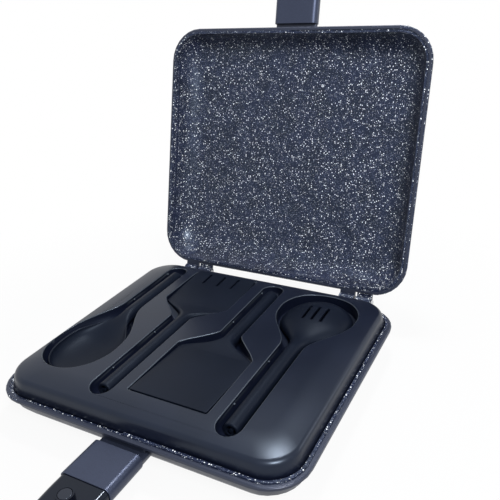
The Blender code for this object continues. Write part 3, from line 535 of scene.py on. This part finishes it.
def tray_shell(grown):
    """Rings of the tray's outside, or of its inside when drawn in by the wall."""
    sizes = settings("pan_tray")

    def ring(inset, z):
        return outline(TRAY_HIGH.x - inset, TRAY_HIGH.y - inset, sizes.corner - inset / 2, z)

    rings = [ring(sizes.skirt_inset + grown, TRAY_LOW.z), ring(grown, MATE_Z + settings("pan_tools").gap / 2)]
    return rings + [ring(inset, z) for inset, z in tray_profile(grown)]


def make_nub(tool, k, side):
    """One snap nub on a trough's wall: a small ball, half in the wall."""
    sizes = settings("pan_tray")
    s = tool.length - NUB_FROM_END[tool.facing] - k * sizes.nub_pitch
    deselect()
    bpy.ops.mesh.primitive_uv_sphere_add(
        segments=20, ring_count=12, radius=sizes.nub,
        location=tool.place(side * (settings("pan_tools").trough - NUB_SUNK), s, TRAY_TOP - sizes.nub_drop))
    return new_piece("nub")


def mark_highlight_lips(body):
    """Mark the rounded edges of the pockets, where the tray's material paints a highlight, in an attribute of the
    vertices.
    """
    # The lip attribute is the mask of the painted highlight along the pockets' edges.
    marks = body.data.attributes.new("lip", "FLOAT", "POINT")
    for vertex in body.data.vertices:
        place, normal = vertex.co, vertex.normal
        outward = ((TRAY_HIGH.x - abs(place.x) < LIP_REACH and place.x * normal.x > 0)
                   or (TRAY_HIGH.y - abs(place.y) < LIP_REACH and place.y * normal.y > 0))
        rounded = 0.25 < normal.z < 0.94 and place.z > TRAY_TOP - LIP_DEPTH
        marks.data[vertex.index].value = float(rounded and not outward)


class PAN_OT_tray(bpy.types.Operator):
    """Moulded tray with its four pockets"""

    bl_idname = "double_pan.tray"
    bl_label = "Tool Tray"

    def execute(self, context):
        sizes = settings("pan_tray")
        body = loft("moulded_tray", tray_shell(0.0))
        hollow = tray_shell(sizes.wall)
        hollow.insert(0, [point - Vector((0, 0, sizes.wall)) for point in hollow[0]])
        core = loft("tray_core", hollow)
        for tool in tools():
            combine(core, make_pocket(tool, "pocket_wall", sizes.wall, TRAY_TOP + sizes.wall), "DIFFERENCE")
        combine(body, core, "DIFFERENCE")
        for tool in tools():
            combine(body, make_pocket(tool, "pocket", 0.0, TRAY_TOP + sizes.wall), "DIFFERENCE")
        round_edges(body, sizes.lip, angle=radians(55), clamp=False)
        for tool in tools():
            for k in (0, 1):
                for side in (-1, 1):
                    combine(body, make_nub(tool, k, side), "UNION")
        smooth(body)
        mark_highlight_lips(body)
        dress(body, tray_plastic(), "tray")
        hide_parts("tool_tray")
        return {"FINISHED"}


# The tools. A section runs from its right edge along its underside, then back over its top.


def half_angles(start, end, steps):
    return [start + (end - start) * k / steps for k in range(steps + 1)]


LIP_ANGLE = radians(7)
LIP_STEPS = 3


def section_angles(lip):
    """Angles once round a section, with a few more at its right and left edges."""
    angles = []
    for start in (0, pi):
        angles += half_angles(start + lip, start + pi - lip, SECTION_STEPS)
        angles += half_angles(start + pi - lip, start + pi + lip, LIP_STEPS)[1:-1]
    return angles


def rod_section(radius):
    return [(radius * cos(a), -radius * sin(a)) for a in section_angles(LIP_ANGLE)]


def bowl_section(half_width, hollow, rim, sizes):
    """A spoon's bowl, hollow side up, with a rounded rim at a height above the rod's axis."""
    wall = min(sizes.wall, half_width * 0.5)
    rise = wall * 0.35
    under = [(half_width * cos(a), rim - rise - (hollow + sizes.wall - rise) * sin(a))
             for a in half_angles(0, pi, SECTION_STEPS)]
    inner = half_width - wall
    over = [(-inner * cos(a), rim - rise * 0.6 - (hollow - rise * 0.6) * sin(a))
            for a in half_angles(0, pi, SECTION_STEPS)]
    left = [(-half_width + wall * 0.28, rim), (-half_width + wall * 0.72, rim)]
    right = [(half_width - wall * 0.72, rim), (half_width - wall * 0.28, rim)]
    return under + left + over + right


def blade_section(half_width, drop, sizes):
    """A turner's blade, with its long edges rounded."""
    top = sizes.rod - drop
    middle = top - sizes.blade / 2
    bend = 2 / 9
    return [(half_width * power(cos(a), bend), middle - sizes.blade / 2 * power(sin(a), bend))
            for a in section_angles(LIP_ANGLE / 4)]


def mix(first, second, share):
    return [(a[0] + (b[0] - a[0]) * share, a[1] + (b[1] - a[1]) * share) for a, b in zip(first, second)]


def tool_rows(tool, sizes):
    """The tool's section at each place from its tip to its rod."""
    rows = []
    if tool.is_spoon:
        for share in tool.head_shares():
            width = max(0.0010, tool.spoon_width(share, tool.half_width, sizes.rod))
            hollow = (sizes.depth - sizes.wall) * width / tool.half_width
            joined = ease((share - tool.NECK_SHARE) / (1 - tool.NECK_SHARE))
            rim = sizes.over_rim if tool.over else sizes.rim
            bowl = bowl_section(width, hollow, rim, sizes)
            rows.append((share * tool.head, mix(bowl, rod_section(sizes.rod), joined)))
        return rows
    for s, width, drop in blade_stations(tool.half_width, tool.head, 0.0022, 0.0):
        rows.append((s, blade_section(width, drop, sizes)))
    for k in range(HEAD_STEPS // 2 + 1):
        share = k / (HEAD_STEPS // 2)
        width = sizes.rod + (tool.half_width - sizes.rod) * shoulder_spread(share)
        rows.append((tool.head + share * tool.shoulder,
                     mix(blade_section(width, sizes.blade_drop, sizes), rod_section(sizes.rod), ease(share))))
    return rows


def make_tool(tool):
    sizes = settings("pan_tools")
    axis_z = TRAY_TOP - sizes.rod
    lift = -1 if tool.over else 1
    rings = []
    rows = tool_rows(tool, sizes)
    rows.append(((rows[-1][0] + tool.length) / 2, rod_section(sizes.rod)))
    for k in range(END_STEPS // 2 + 1):
        angle = pi / 2 * k / (END_STEPS // 2)
        rows.append((tool.length - sizes.end_round * (1 - sin(angle)),
                     rod_section(sizes.rod - sizes.end_round * (1 - cos(angle)))))
    for s, section in rows:
        rings.append([tool.place(x, s, axis_z + lift * z) for x, z in section])
    body = loft(f"nylon_{tool.name}", rings)
    out = Vector((0, -tool.facing, 0))
    end = tool.place(0, tool.length, axis_z)
    bore = rod_tool("bore", sizes.bore, end - out * sizes.bore_depth, sizes.bore_depth * 1.2, out)
    core = rod_tool("core", sizes.core, end - out * sizes.bore_depth * 1.5, sizes.bore_depth * 2, out)
    combine(bore, core, "DIFFERENCE")
    combine(body, bore, "DIFFERENCE")
    if tool.slots:
        pitch, middle, length = tool.slots
        for k in (-1, 0, 1):
            place = tool.place(k * pitch, middle, axis_z)
            combine(body, stadium("slot", sizes.slot, length, sizes.depth * 3, place), "DIFFERENCE")
    return body


class PAN_OT_tools(bpy.types.Operator):
    """Two spoons and two turners of black nylon"""

    bl_idname = "double_pan.tools"
    bl_label = "Tools"

    def execute(self, context):
        look = tool_nylon()
        for tool in tools():
            body = make_tool(tool)
            round_edges(body, TOOL_EDGE, angle=radians(60), segments=2)
            dress(body, look, f"{tool.name}_body")
            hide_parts(tool.name)
        return {"FINISHED"}


# The castings


def rim_inset(point):
    """How far a point of the casting, placed as the base's, lies in from the rim's edge."""
    sizes = settings("pan_casting")
    beyond_x = abs(point.x) - PAN_HIGH.x + sizes.corner
    beyond_y = abs(point.y) - HINGE_POINT.y + sizes.setback + sizes.corner
    if beyond_x > 0 and beyond_y > 0:
        return sizes.corner - sqrt(beyond_x ** 2 + beyond_y ** 2)
    return sizes.corner - max(beyond_x, beyond_y)


def is_coated(points, normal):
    """Whether a face of the casting, placed as the base's, has the speckled coating."""
    sizes = settings("pan_casting")
    inset = sum(rim_inset(point) for point in points) / len(points)
    centre = sum(points, Vector()) / len(points)
    height = centre.z - MATE_Z
    if centre.y > 0 and inset < -sizes.edge_round:
        return height > -0.0062
    if inset > sizes.flange_width - sizes.edge_round and height < 0.0005:
        return normal.dot(Vector((0, 0, MATE_Z + 0.06)) - centre) > 0
    if max(point.x for point in points) > 0.001:
        return inset > sizes.flange_width - sizes.tongue - sizes.edge_round / 2 and height > -0.0004
    return height > -0.0020 and inset > sizes.edge_round / 2 and normal.z > -0.2


class PAN_OT_castings(bpy.types.Operator):
    """Both halves of the pan, coated inside and painted outside"""

    bl_idname = "double_pan.castings"
    bl_label = "Castings"

    def execute(self, context):
        coat = speckled_coating()
        paint = metallic_paint("casting_paint", 0.5, 0.62)
        for half, matrix in (("base", Matrix.Translation((0, 0, 0))), ("lid", TO_LID)):
            node = frame["nodes"][f"{half}_pan"]
            body = second_copy(node, f"{half}_casting", Matrix.Identity(4))
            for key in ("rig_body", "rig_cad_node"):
                if key in body:
                    del body[key]
            bpy.ops.object.mode_set(mode="EDIT")
            bpy.ops.mesh.select_all(action="SELECT")
            bpy.ops.mesh.remove_doubles(threshold=0.00001)
            bpy.ops.object.mode_set(mode="OBJECT")
            apply_modifier(body, "DECIMATE", decimate_type="DISSOLVE", angle_limit=radians(0.2))
            round_edges(body, settings("pan_casting").edge_round, angle=radians(52), segments=2)
            dress(body, paint, half)
            body.data.materials.append(coat)
            back = matrix.inverted()
            if half == "base":
                back = Matrix.Identity(4)
            spin = back.to_3x3()
            for face in body.data.polygons:
                points = [back @ body.data.vertices[k].co for k in face.vertices]
                face.material_index = int(is_coated(points, spin @ face.normal))
            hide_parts(f"{half}_pan")
        return {"FINISHED"}


# Handles


def handle_section(half_width, top, height, top_round, bottom_round, steps=10):
    """The handle's section in X and Z: flat towards the other handle, rounder in the palm."""
    points = []
    bottom = top - height
    for side, edge, corner, turn in ((1, top, top_round, 0), (-1, top, top_round, 1),
                                     (-1, bottom, bottom_round, 2), (1, bottom, bottom_round, 3)):
        lift = -corner if edge == top else corner
        for k in range(steps + 1):
            angle = (turn + k / steps) * pi / 2
            points.append((side * (half_width - corner) + corner * cos(angle), edge + lift + corner * sin(angle)))
    return points


def sleeve_section(inset):
    sizes = settings("pan_handles")
    half_width = SLEEVE_HIGH.x - inset
    height = SLEEVE_HIGH.z - SLEEVE_LOW.z - 2 * inset
    return handle_section(half_width, SLEEVE_HIGH.z - inset, height, sizes.top_round - inset,
                          sizes.bottom_round - inset)


def along(section, y):
    return [Vector((x, y, z)) for x, z in section]


# Along the grip: place, half width and height as shares of the sleeve's
GRIP_SHARES = ((0.0, 0.955, 0.93), (0.10, 0.950, 0.94), (0.32, 0.880, 0.95), (0.60, 0.900, 1.0),
               (0.84, 0.960, 1.0), (0.94, 0.900, 0.932), (0.98, 0.760, 0.82), (1.0, 0.520, 0.62))


def grip_share(place, column):
    """A grip share at a place, on a smooth curve through the table."""
    rows = GRIP_SHARES
    k = next((k for k in range(len(rows) - 1) if place <= rows[k + 1][0]), len(rows) - 2)
    before, start, end, after = (rows[min(max(i, 0), len(rows) - 1)] for i in (k - 1, k, k + 1, k + 2))
    span = end[0] - start[0]
    t = (place - start[0]) / span
    slope_in = (end[column] - before[column]) / (end[0] - before[0]) * span
    slope_out = (after[column] - start[column]) / (after[0] - start[0]) * span
    return ((2 * t ** 3 - 3 * t ** 2 + 1) * start[column] + (t ** 3 - 2 * t ** 2 + t) * slope_in
            + (3 * t ** 2 - 2 * t ** 3) * end[column] + (t ** 3 - t ** 2) * slope_out)


def make_grip():
    sizes = settings("pan_handles")
    gap = settings("pan_tools").gap
    front = SLEEVE_LOW.y - gap
    length = front - GRIP_LOW.y
    top = SLEEVE_HIGH.z - sizes.step
    full = SLEEVE_HIGH.z - SLEEVE_LOW.z - sizes.step
    rings = []
    for k in range(HEAD_STEPS + 1):
        place = sin(pi / 2 * k / HEAD_STEPS)
        width = grip_share(place, 1)
        height = min(grip_share(place, 2), 1.0)
        section = handle_section(SLEEVE_HIGH.x * width, top, full * height,
                                 sizes.top_round * height, sizes.bottom_round * width * height)
        rings.append(along(section, front - length * place))
    body = loft("bakelite_grip", rings)
    tenon = sleeve_section(sizes.sleeve_wall + gap)
    combine(body, loft("tenon", [along(tenon, front + sizes.tenon), along(tenon, front - gap * 4)]), "UNION")
    middle = (MAGNET_LOW + MAGNET_HIGH) / 2
    radius = (MAGNET_HIGH.x - MAGNET_LOW.x) / 2
    rim = Vector((0, middle.y, GRIP_HIGH.z))
    rise = rim.z - top + 0.001
    post = rod_tool("post", radius + POST_WALL, rim - Vector((0, 0, rise)), rise, (0, 0, 1), steps=64)
    combine(body, post, "UNION")
    seat = rod_tool("seat", radius + gap, Vector((0, middle.y, MAGNET_LOW.z - gap)), 0.01, (0, 0, 1), steps=64)
    combine(body, seat, "DIFFERENCE")
    axis_z = (SLEEVE_HIGH.z + SLEEVE_LOW.z) / 2
    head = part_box("base_handle_bolt")
    access = rod_tool("access", head[1].x + gap, Vector((0, GRIP_LOW.y - 0.01, axis_z)),
                      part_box("base_bolt_washer")[1].y + gap - GRIP_LOW.y + 0.01, (0, 1, 0))
    combine(body, access, "DIFFERENCE")
    bolt = rod_tool("bolt_bore", BOLT_BORE, Vector((0, GRIP_LOW.y, axis_z)),
                    front + sizes.tenon - GRIP_LOW.y + 0.01, (0, 1, 0))
    combine(body, bolt, "DIFFERENCE")
    slot_middle = Vector((0, GRIP_LOW.y + sizes.slot_from_end, axis_z))
    combine(body, stadium("hang", sizes.slot_width, sizes.slot_length, 0.05, slot_middle), "DIFFERENCE")
    return body


def make_sleeve():
    sizes = settings("pan_handles")
    body = loft("metal_sleeve", [along(sleeve_section(0), y) for y in (SLEEVE_HIGH.y, SLEEVE_LOW.y)])
    inside = sleeve_section(sizes.sleeve_wall)
    combine(body, loft("sleeve_bore", [along(inside, y) for y in (SLEEVE_HIGH.y + 0.01, SLEEVE_LOW.y - 0.01)]),
            "DIFFERENCE")
    return body


def make_magnet():
    middle = (MAGNET_LOW + MAGNET_HIGH) / 2
    radius = (MAGNET_HIGH.x - MAGNET_LOW.x) / 2
    return rod_tool("disc_magnet", radius, Vector((0, middle.y, MAGNET_LOW.z)), MAGNET_HIGH.z - MAGNET_LOW.z,
                    (0, 0, 1), steps=64)


class PAN_OT_handles(bpy.types.Operator):
    """Sleeves, grips and magnets of both halves"""

    bl_idname = "double_pan.handles"
    bl_label = "Handles"

    def execute(self, context):
        sizes = settings("pan_handles")
        kinds = (("sleeve", make_sleeve(), metallic_paint("sleeve_paint", 0.72, 0.90), "sleeve_metal", sizes.edge),
                 ("grip", make_grip(), bakelite(), "grip_bakelite", GRIP_EDGE),
                 ("magnet", make_magnet(), magnet_face(), "magnet_nickel", MAGNET_EDGE))
        for kind, piece, look, slot, edge in kinds:
            round_edges(piece, edge, angle=radians(50))
            twin = second_copy(piece, f"lid_{piece.name}", TO_LID)
            piece.name = f"base_{piece.name}"
            dress(piece, look, "base")
            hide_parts(f"base_{kind}")
            dress(twin, look, "lid")
            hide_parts(f"lid_{kind}")
        return {"FINISHED"}


class PAN_OT_fasteners(bpy.types.Operator):
    """Steel finish on the pins, bolts and washers"""

    bl_idname = "double_pan.fasteners"
    bl_label = "Fasteners"

    def execute(self, context):
        look = plain_steel()
        for name, node in frame["nodes"].items():
            if "pin" in name or "bolt" in name:
                node.data.materials.clear()
                node.data.materials.append(look)
        return {"FINISHED"}


# Materials


class Value:
    """An output socket that Python's arithmetic turns into Math nodes."""

    def __init__(self, graph, socket):
        self.graph = graph
        self.socket = socket

    def maths(self, operation, *others):
        return self.graph.add("ShaderNodeMath", {"operation": operation}, self, *others)

    def __add__(self, other):
        return self.maths("ADD", other)

    def __sub__(self, other):
        return self.maths("SUBTRACT", other)

    def __mul__(self, other):
        return self.maths("MULTIPLY", other)


class Graph:
    """A material's nodes, with its Principled shader at the end."""

    def __init__(self, name, **constants):
        self.material = bpy.data.materials.new(name)
        self.material.use_nodes = True
        self.tree = self.material.node_tree
        self.shader = self.tree.nodes["Principled BSDF"]
        for key, value in constants.items():
            self.shader.inputs[key.replace("_", " ")].default_value = value
        self.place = self.add("ShaderNodeTexCoord", {}, output="Object")

    def put(self, socket, value):
        if isinstance(value, Value):
            self.tree.links.new(value.socket, socket)
        elif isinstance(value, (tuple, list)) and socket.type == "RGBA" and len(value) == 3:
            socket.default_value = (*value, 1.0)
        else:
            socket.default_value = value

    def add(self, kind, options, *values, output=0, **named):
        """A node with its settings first, then its sockets in order or by name."""
        node = self.tree.nodes.new(kind)
        for key, option in options.items():
            setattr(node, key, option)
        for k, value in enumerate(values):
            self.put(node.inputs[k], value)
        for key, value in named.items():
            self.put(node.inputs[key.replace("_", " ")], value)
        return Value(self, node.outputs[output])

    def noise(self, scale, detail=3.0, roughness=0.5):
        return self.add("ShaderNodeTexNoise", {}, Vector=self.place, Scale=scale, Detail=detail, Roughness=roughness)

    def cells(self, scale, output="Distance"):
        return self.add("ShaderNodeTexVoronoi", {}, output=output, Vector=self.place, Scale=scale)

    def limits(self, value, low, high, start=0.0, end=1.0):
        """Map a value from low and high onto start and end, smoothly."""
        return self.add("ShaderNodeMapRange", {"interpolation_type": "SMOOTHSTEP"}, value, low, high, start, end)

    def blend(self, share, first, second):
        node = self.tree.nodes.new("ShaderNodeMix")
        node.data_type = "RGBA"
        for socket, value in zip((node.inputs[0], node.inputs[6], node.inputs[7]), (share, first, second)):
            self.put(socket, value)
        return Value(self, node.outputs[2])

    def bump(self, height, strength, distance):
        return self.add("ShaderNodeBump", {}, Height=height, Strength=strength, Distance=distance)

    def finish(self, **links):
        for key, value in links.items():
            self.put(self.shader.inputs[key.replace("_", " ")], value)
        return self.material


def specks(graph, scale, least, most):
    """Round specks of random size, at most one in a cell, from none to full."""
    distance = graph.cells(scale)
    chance = graph.add("ShaderNodeSeparateColor", {}, graph.cells(scale, "Color"))
    size = graph.limits(chance, least, 0.3 + 0.7 * least, 0.0, most)
    return graph.limits(size - distance, 0.0, most * 0.25)


def tint(colour, share):
    return tuple(channel * share for channel in colour)


def speckled_coating():
    """Non-stick coating: blue-black ground with white specks and fine grey flecks."""
    looks = settings("pan_finishes")
    graph = Graph("speckled_coating", Specular_Tint=(*looks.sheen, 1.0), Specular_IOR_Level=0.36)
    white = specks(graph, 560.0, 0.70, 0.33)
    small = specks(graph, 860.0, 0.70, 0.30)
    fine = specks(graph, 1200.0, 0.40, 0.34)
    cloud = graph.limits(graph.noise(60.0), 0.35, 0.65)
    ground = graph.blend(cloud, tint(looks.coating, 0.75), tint(looks.coating, 1.3))
    colour = graph.blend(fine * 0.65, ground, tuple(looks.fleck))
    colour = graph.blend(small * 0.75, colour, tint(looks.speck, 0.8))
    colour = graph.blend(white, colour, tuple(looks.speck))
    relief = graph.noise(900.0, 2.0) * 0.5 + white * 0.5
    roughness = graph.limits(graph.noise(240.0), 0.2, 0.8, 0.30, 0.40)
    return graph.finish(Base_Color=colour, Roughness=roughness, Normal=graph.bump(relief, 0.25, 0.0002))


def metallic_paint(name, metallic, share):
    """Satin blue-grey paint with a fine metal flake."""
    looks = settings("pan_finishes")
    graph = Graph(name, Metallic=metallic, Coat_Weight=0.08, Coat_Roughness=0.2)
    flake = graph.noise(2600.0, 2.0)
    colour = graph.blend(graph.limits(flake, 0.35, 0.7), tint(looks.paint, 0.85 * share), tint(looks.paint, 1.18 * share))
    roughness = graph.limits(graph.noise(90.0), 0.3, 0.7, 0.40, 0.46)
    return graph.finish(Base_Color=colour, Roughness=roughness, Normal=graph.bump(flake, 0.03, 0.0001))


def moulded(name, colour, low, high, grain, strength, lip_highlight=0.0, **constants):
    """Moulded plastic: faint clouding, uneven sheen and a fine grain, and a painted highlight on marked lips when
    asked for.
    """
    sheen = settings("pan_finishes").sheen
    graph = Graph(name, Specular_Tint=(*sheen, 1.0), **constants)
    cloud = graph.noise(26.0, 4.0)
    shade = graph.blend(graph.limits(cloud, 0.3, 0.7), tint(colour, 0.9), tint(colour, 1.12))
    if lip_highlight:
        # Painted highlight: marked lips take a pale tint of the sheen colour in place of their reflections.
        marks = graph.add("ShaderNodeAttribute", {"attribute_name": "lip"}, output="Fac")
        shade = graph.blend(marks, shade, tint(sheen, lip_highlight))
    roughness = graph.limits(graph.noise(14.0, 5.0, 0.6), 0.3, 0.7, low, high)
    fine = graph.noise(grain, 3.0)
    return graph.finish(Base_Color=shade, Roughness=roughness, Normal=graph.bump(fine, strength, 0.0001))


def tray_plastic():
    # The tray paints a pale highlight along its pockets' lips.
    return moulded("tray_plastic", settings("pan_finishes").tray, 0.28, 0.33, 1500.0, 0.05, lip_highlight=0.05,
                   Specular_IOR_Level=0.40)


def tool_nylon():
    return moulded("tool_nylon", settings("pan_finishes").nylon, 0.42, 0.48, 1100.0, 0.05,
                   Specular_IOR_Level=0.12)


def bakelite():
    return moulded("grip_bakelite", settings("pan_finishes").grip, 0.13, 0.20, 300.0, 0.02, Specular_IOR_Level=0.2,
                   Coat_Weight=0.15, Coat_Roughness=0.08)


def magnet_face():
    return moulded("magnet_face", (0.006, 0.006, 0.010), 0.22, 0.30, 900.0, 0.05)


def plain_steel():
    """Zinc-plated steel with fine turning marks."""
    looks = settings("pan_finishes")
    graph = Graph("plain_steel", Metallic=1.0)
    marks = graph.add("ShaderNodeTexWave", {"bands_direction": "X"}, Vector=graph.place, Scale=900.0, Distortion=1.5)
    colour = graph.blend(graph.noise(400.0), tuple(c * 0.85 for c in looks.steel), tuple(looks.steel))
    return graph.finish(Base_Color=colour, Roughness=graph.limits(marks, 0.0, 1.0, 0.24, 0.34))


# Stage


def seen_rays(tree):
    """Socket that is 1 for camera, glossy and transmission rays and 0 for light."""
    path = tree.nodes.new("ShaderNodeLightPath")
    total = path.outputs["Is Camera Ray"]
    for kind in ("Is Glossy Ray", "Is Transmission Ray"):
        both = tree.nodes.new("ShaderNodeMath")
        both.operation = "MAXIMUM"
        tree.links.new(total, both.inputs[0])
        tree.links.new(path.outputs[kind], both.inputs[1])
        total = both.outputs[0]
    return total


def floor_material(colour):
    """Floor that is white to the camera but for the object's soft shadow, which fades out with distance."""
    graph = Graph("floor", Roughness=0.9)
    graph.shader.inputs["Base Color"].default_value = (*colour, 1.0)
    seen = Value(graph, seen_rays(graph.tree))
    distance = graph.add("ShaderNodeVectorMath", {"operation": "LENGTH"}, graph.place, output=1)
    glow = graph.tree.nodes.new("ShaderNodeEmission")
    glow.inputs["Color"].default_value = (1.0, 1.0, 1.0, 1.0)
    blend = graph.tree.nodes.new("ShaderNodeMixShader")
    graph.put(blend.inputs[0], seen * graph.limits(distance, 0.18, 0.50, 0.92, 1.0))
    graph.tree.links.new(graph.shader.outputs[0], blend.inputs[1])
    graph.tree.links.new(glow.outputs[0], blend.inputs[2])
    out = next(node for node in graph.tree.nodes if node.type == "OUTPUT_MATERIAL")
    graph.tree.links.new(blend.outputs[0], out.inputs[0])
    return graph.material


def add_lamp(name, place, target, size, power):
    deselect()
    turn = (Vector(target) - Vector(place)).to_track_quat("-Z", "Y").to_euler()
    bpy.ops.object.light_add(type="AREA", location=place, rotation=turn)
    lamp = bpy.context.object
    lamp.name = name
    lamp.data.shape = "DISK"
    lamp.data.size = size
    lamp.data.energy = power


def studio_world(sky, horizon):
    """Even light, strongest from above, with a white backdrop for the camera and for reflections."""
    world = bpy.data.worlds.new("studio")
    bpy.context.scene.world = world
    world.use_nodes = True
    tree = world.node_tree
    direction = tree.nodes.new("ShaderNodeTexCoord")
    split = tree.nodes.new("ShaderNodeSeparateXYZ")
    rise = tree.nodes.new("ShaderNodeMapRange")
    rise.interpolation_type = "SMOOTHSTEP"
    for socket, value in zip(rise.inputs[1:5], (0.05, 0.85, horizon, sky)):
        socket.default_value = value
    ambient = tree.nodes["Background"]
    ambient.inputs["Color"].default_value = (0.94, 0.97, 1.0, 1.0)
    backdrop = tree.nodes.new("ShaderNodeBackground")
    backdrop.inputs["Color"].default_value = (1.0, 1.0, 1.0, 1.0)
    blend = tree.nodes.new("ShaderNodeMixShader")
    out = next(node for node in tree.nodes if node.type == "OUTPUT_WORLD")
    for start, end in ((direction.outputs["Generated"], split.inputs[0]), (split.outputs["Z"], rise.inputs[0]),
                       (rise.outputs[0], ambient.inputs["Strength"]), (seen_rays(tree), blend.inputs[0]),
                       (ambient.outputs[0], blend.inputs[1]), (backdrop.outputs[0], blend.inputs[2]),
                       (blend.outputs[0], out.inputs[0])):
        tree.links.new(start, end)


class PAN_OT_stage(bpy.types.Operator):
    """Floor, soft light and the photo's camera"""

    bl_idname = "double_pan.stage"
    bl_label = "Stage"

    def execute(self, context):
        choices = settings("pan_stage")
        deselect()
        bpy.ops.mesh.primitive_plane_add(size=choices.size, location=(0, 0, PAN_LOW.z))
        floor = bpy.context.object
        floor.name = "floor"
        floor.data.materials.append(floor_material(tuple(choices.floor)))
        add_lamp("back_lamp", (0.02, 0.33, 0.95), (0.1, -0.08, MATE_Z), 0.15, choices.back)
        add_lamp("side_lamp", (0.75, -0.65, 1.0), (0, 0.06, 0.1), 0.4, choices.side)
        add_lamp("rim_lamp", (1.1, 0.9, 0.55), (0, 0, MATE_Z), 0.4, choices.rim)
        studio_world(choices.sky, choices.horizon)
        deselect()
        bpy.ops.object.camera_add(location=CAMERA_PLACE, rotation=CAMERA_TURN)
        camera = bpy.context.object
        camera.data.sensor_width = 36
        camera.data.lens = CAMERA_LENS
        camera.data.shift_x, camera.data.shift_y = CAMERA_SHIFT
        camera.data.clip_start = 0.01
        context.scene.camera = camera
        context.scene.view_settings.view_transform = "Standard"
        return {"FINISHED"}


class PAN_PT_sidebar(bpy.types.Panel):
    """Buttons and sizes of the double pan"""

    bl_label = "Double Pan"
    bl_idname = "PAN_PT_sidebar"
    bl_space_type = "VIEW_3D"
    bl_region_type = "UI"
    bl_category = "Double Pan"

    def draw(self, context):
        for operator in OPERATORS:
            self.layout.operator(operator.bl_idname)
        for name, group in GROUPS.items():
            box = self.layout.box()
            for key in group.__annotations__:
                box.prop(getattr(context.scene, name), key)


GROUPS = {"pan_casting": PanSizes, "pan_tray": TraySizes, "pan_tools": ToolSizes, "pan_handles": HandleSizes,
          "pan_finishes": Finishes, "pan_stage": StageSettings}
OPERATORS = (PAN_OT_castings, PAN_OT_tray, PAN_OT_tools, PAN_OT_handles, PAN_OT_fasteners, PAN_OT_stage)


def register():
    for cls in (*GROUPS.values(), *OPERATORS, PAN_PT_sidebar):
        bpy.utils.register_class(cls)
    for name, group in GROUPS.items():
        setattr(bpy.types.Scene, name, PointerProperty(type=group))


def unregister():
    for name in GROUPS:
        delattr(bpy.types.Scene, name)
    for cls in reversed((*GROUPS.values(), *OPERATORS, PAN_PT_sidebar)):
        bpy.utils.unregister_class(cls)


def main():
    register()
    for make in (bpy.ops.double_pan.castings, bpy.ops.double_pan.tray, bpy.ops.double_pan.tools,
                 bpy.ops.double_pan.handles, bpy.ops.double_pan.fasteners, bpy.ops.double_pan.stage):
        make()


if __name__ == "__main__":
    main()
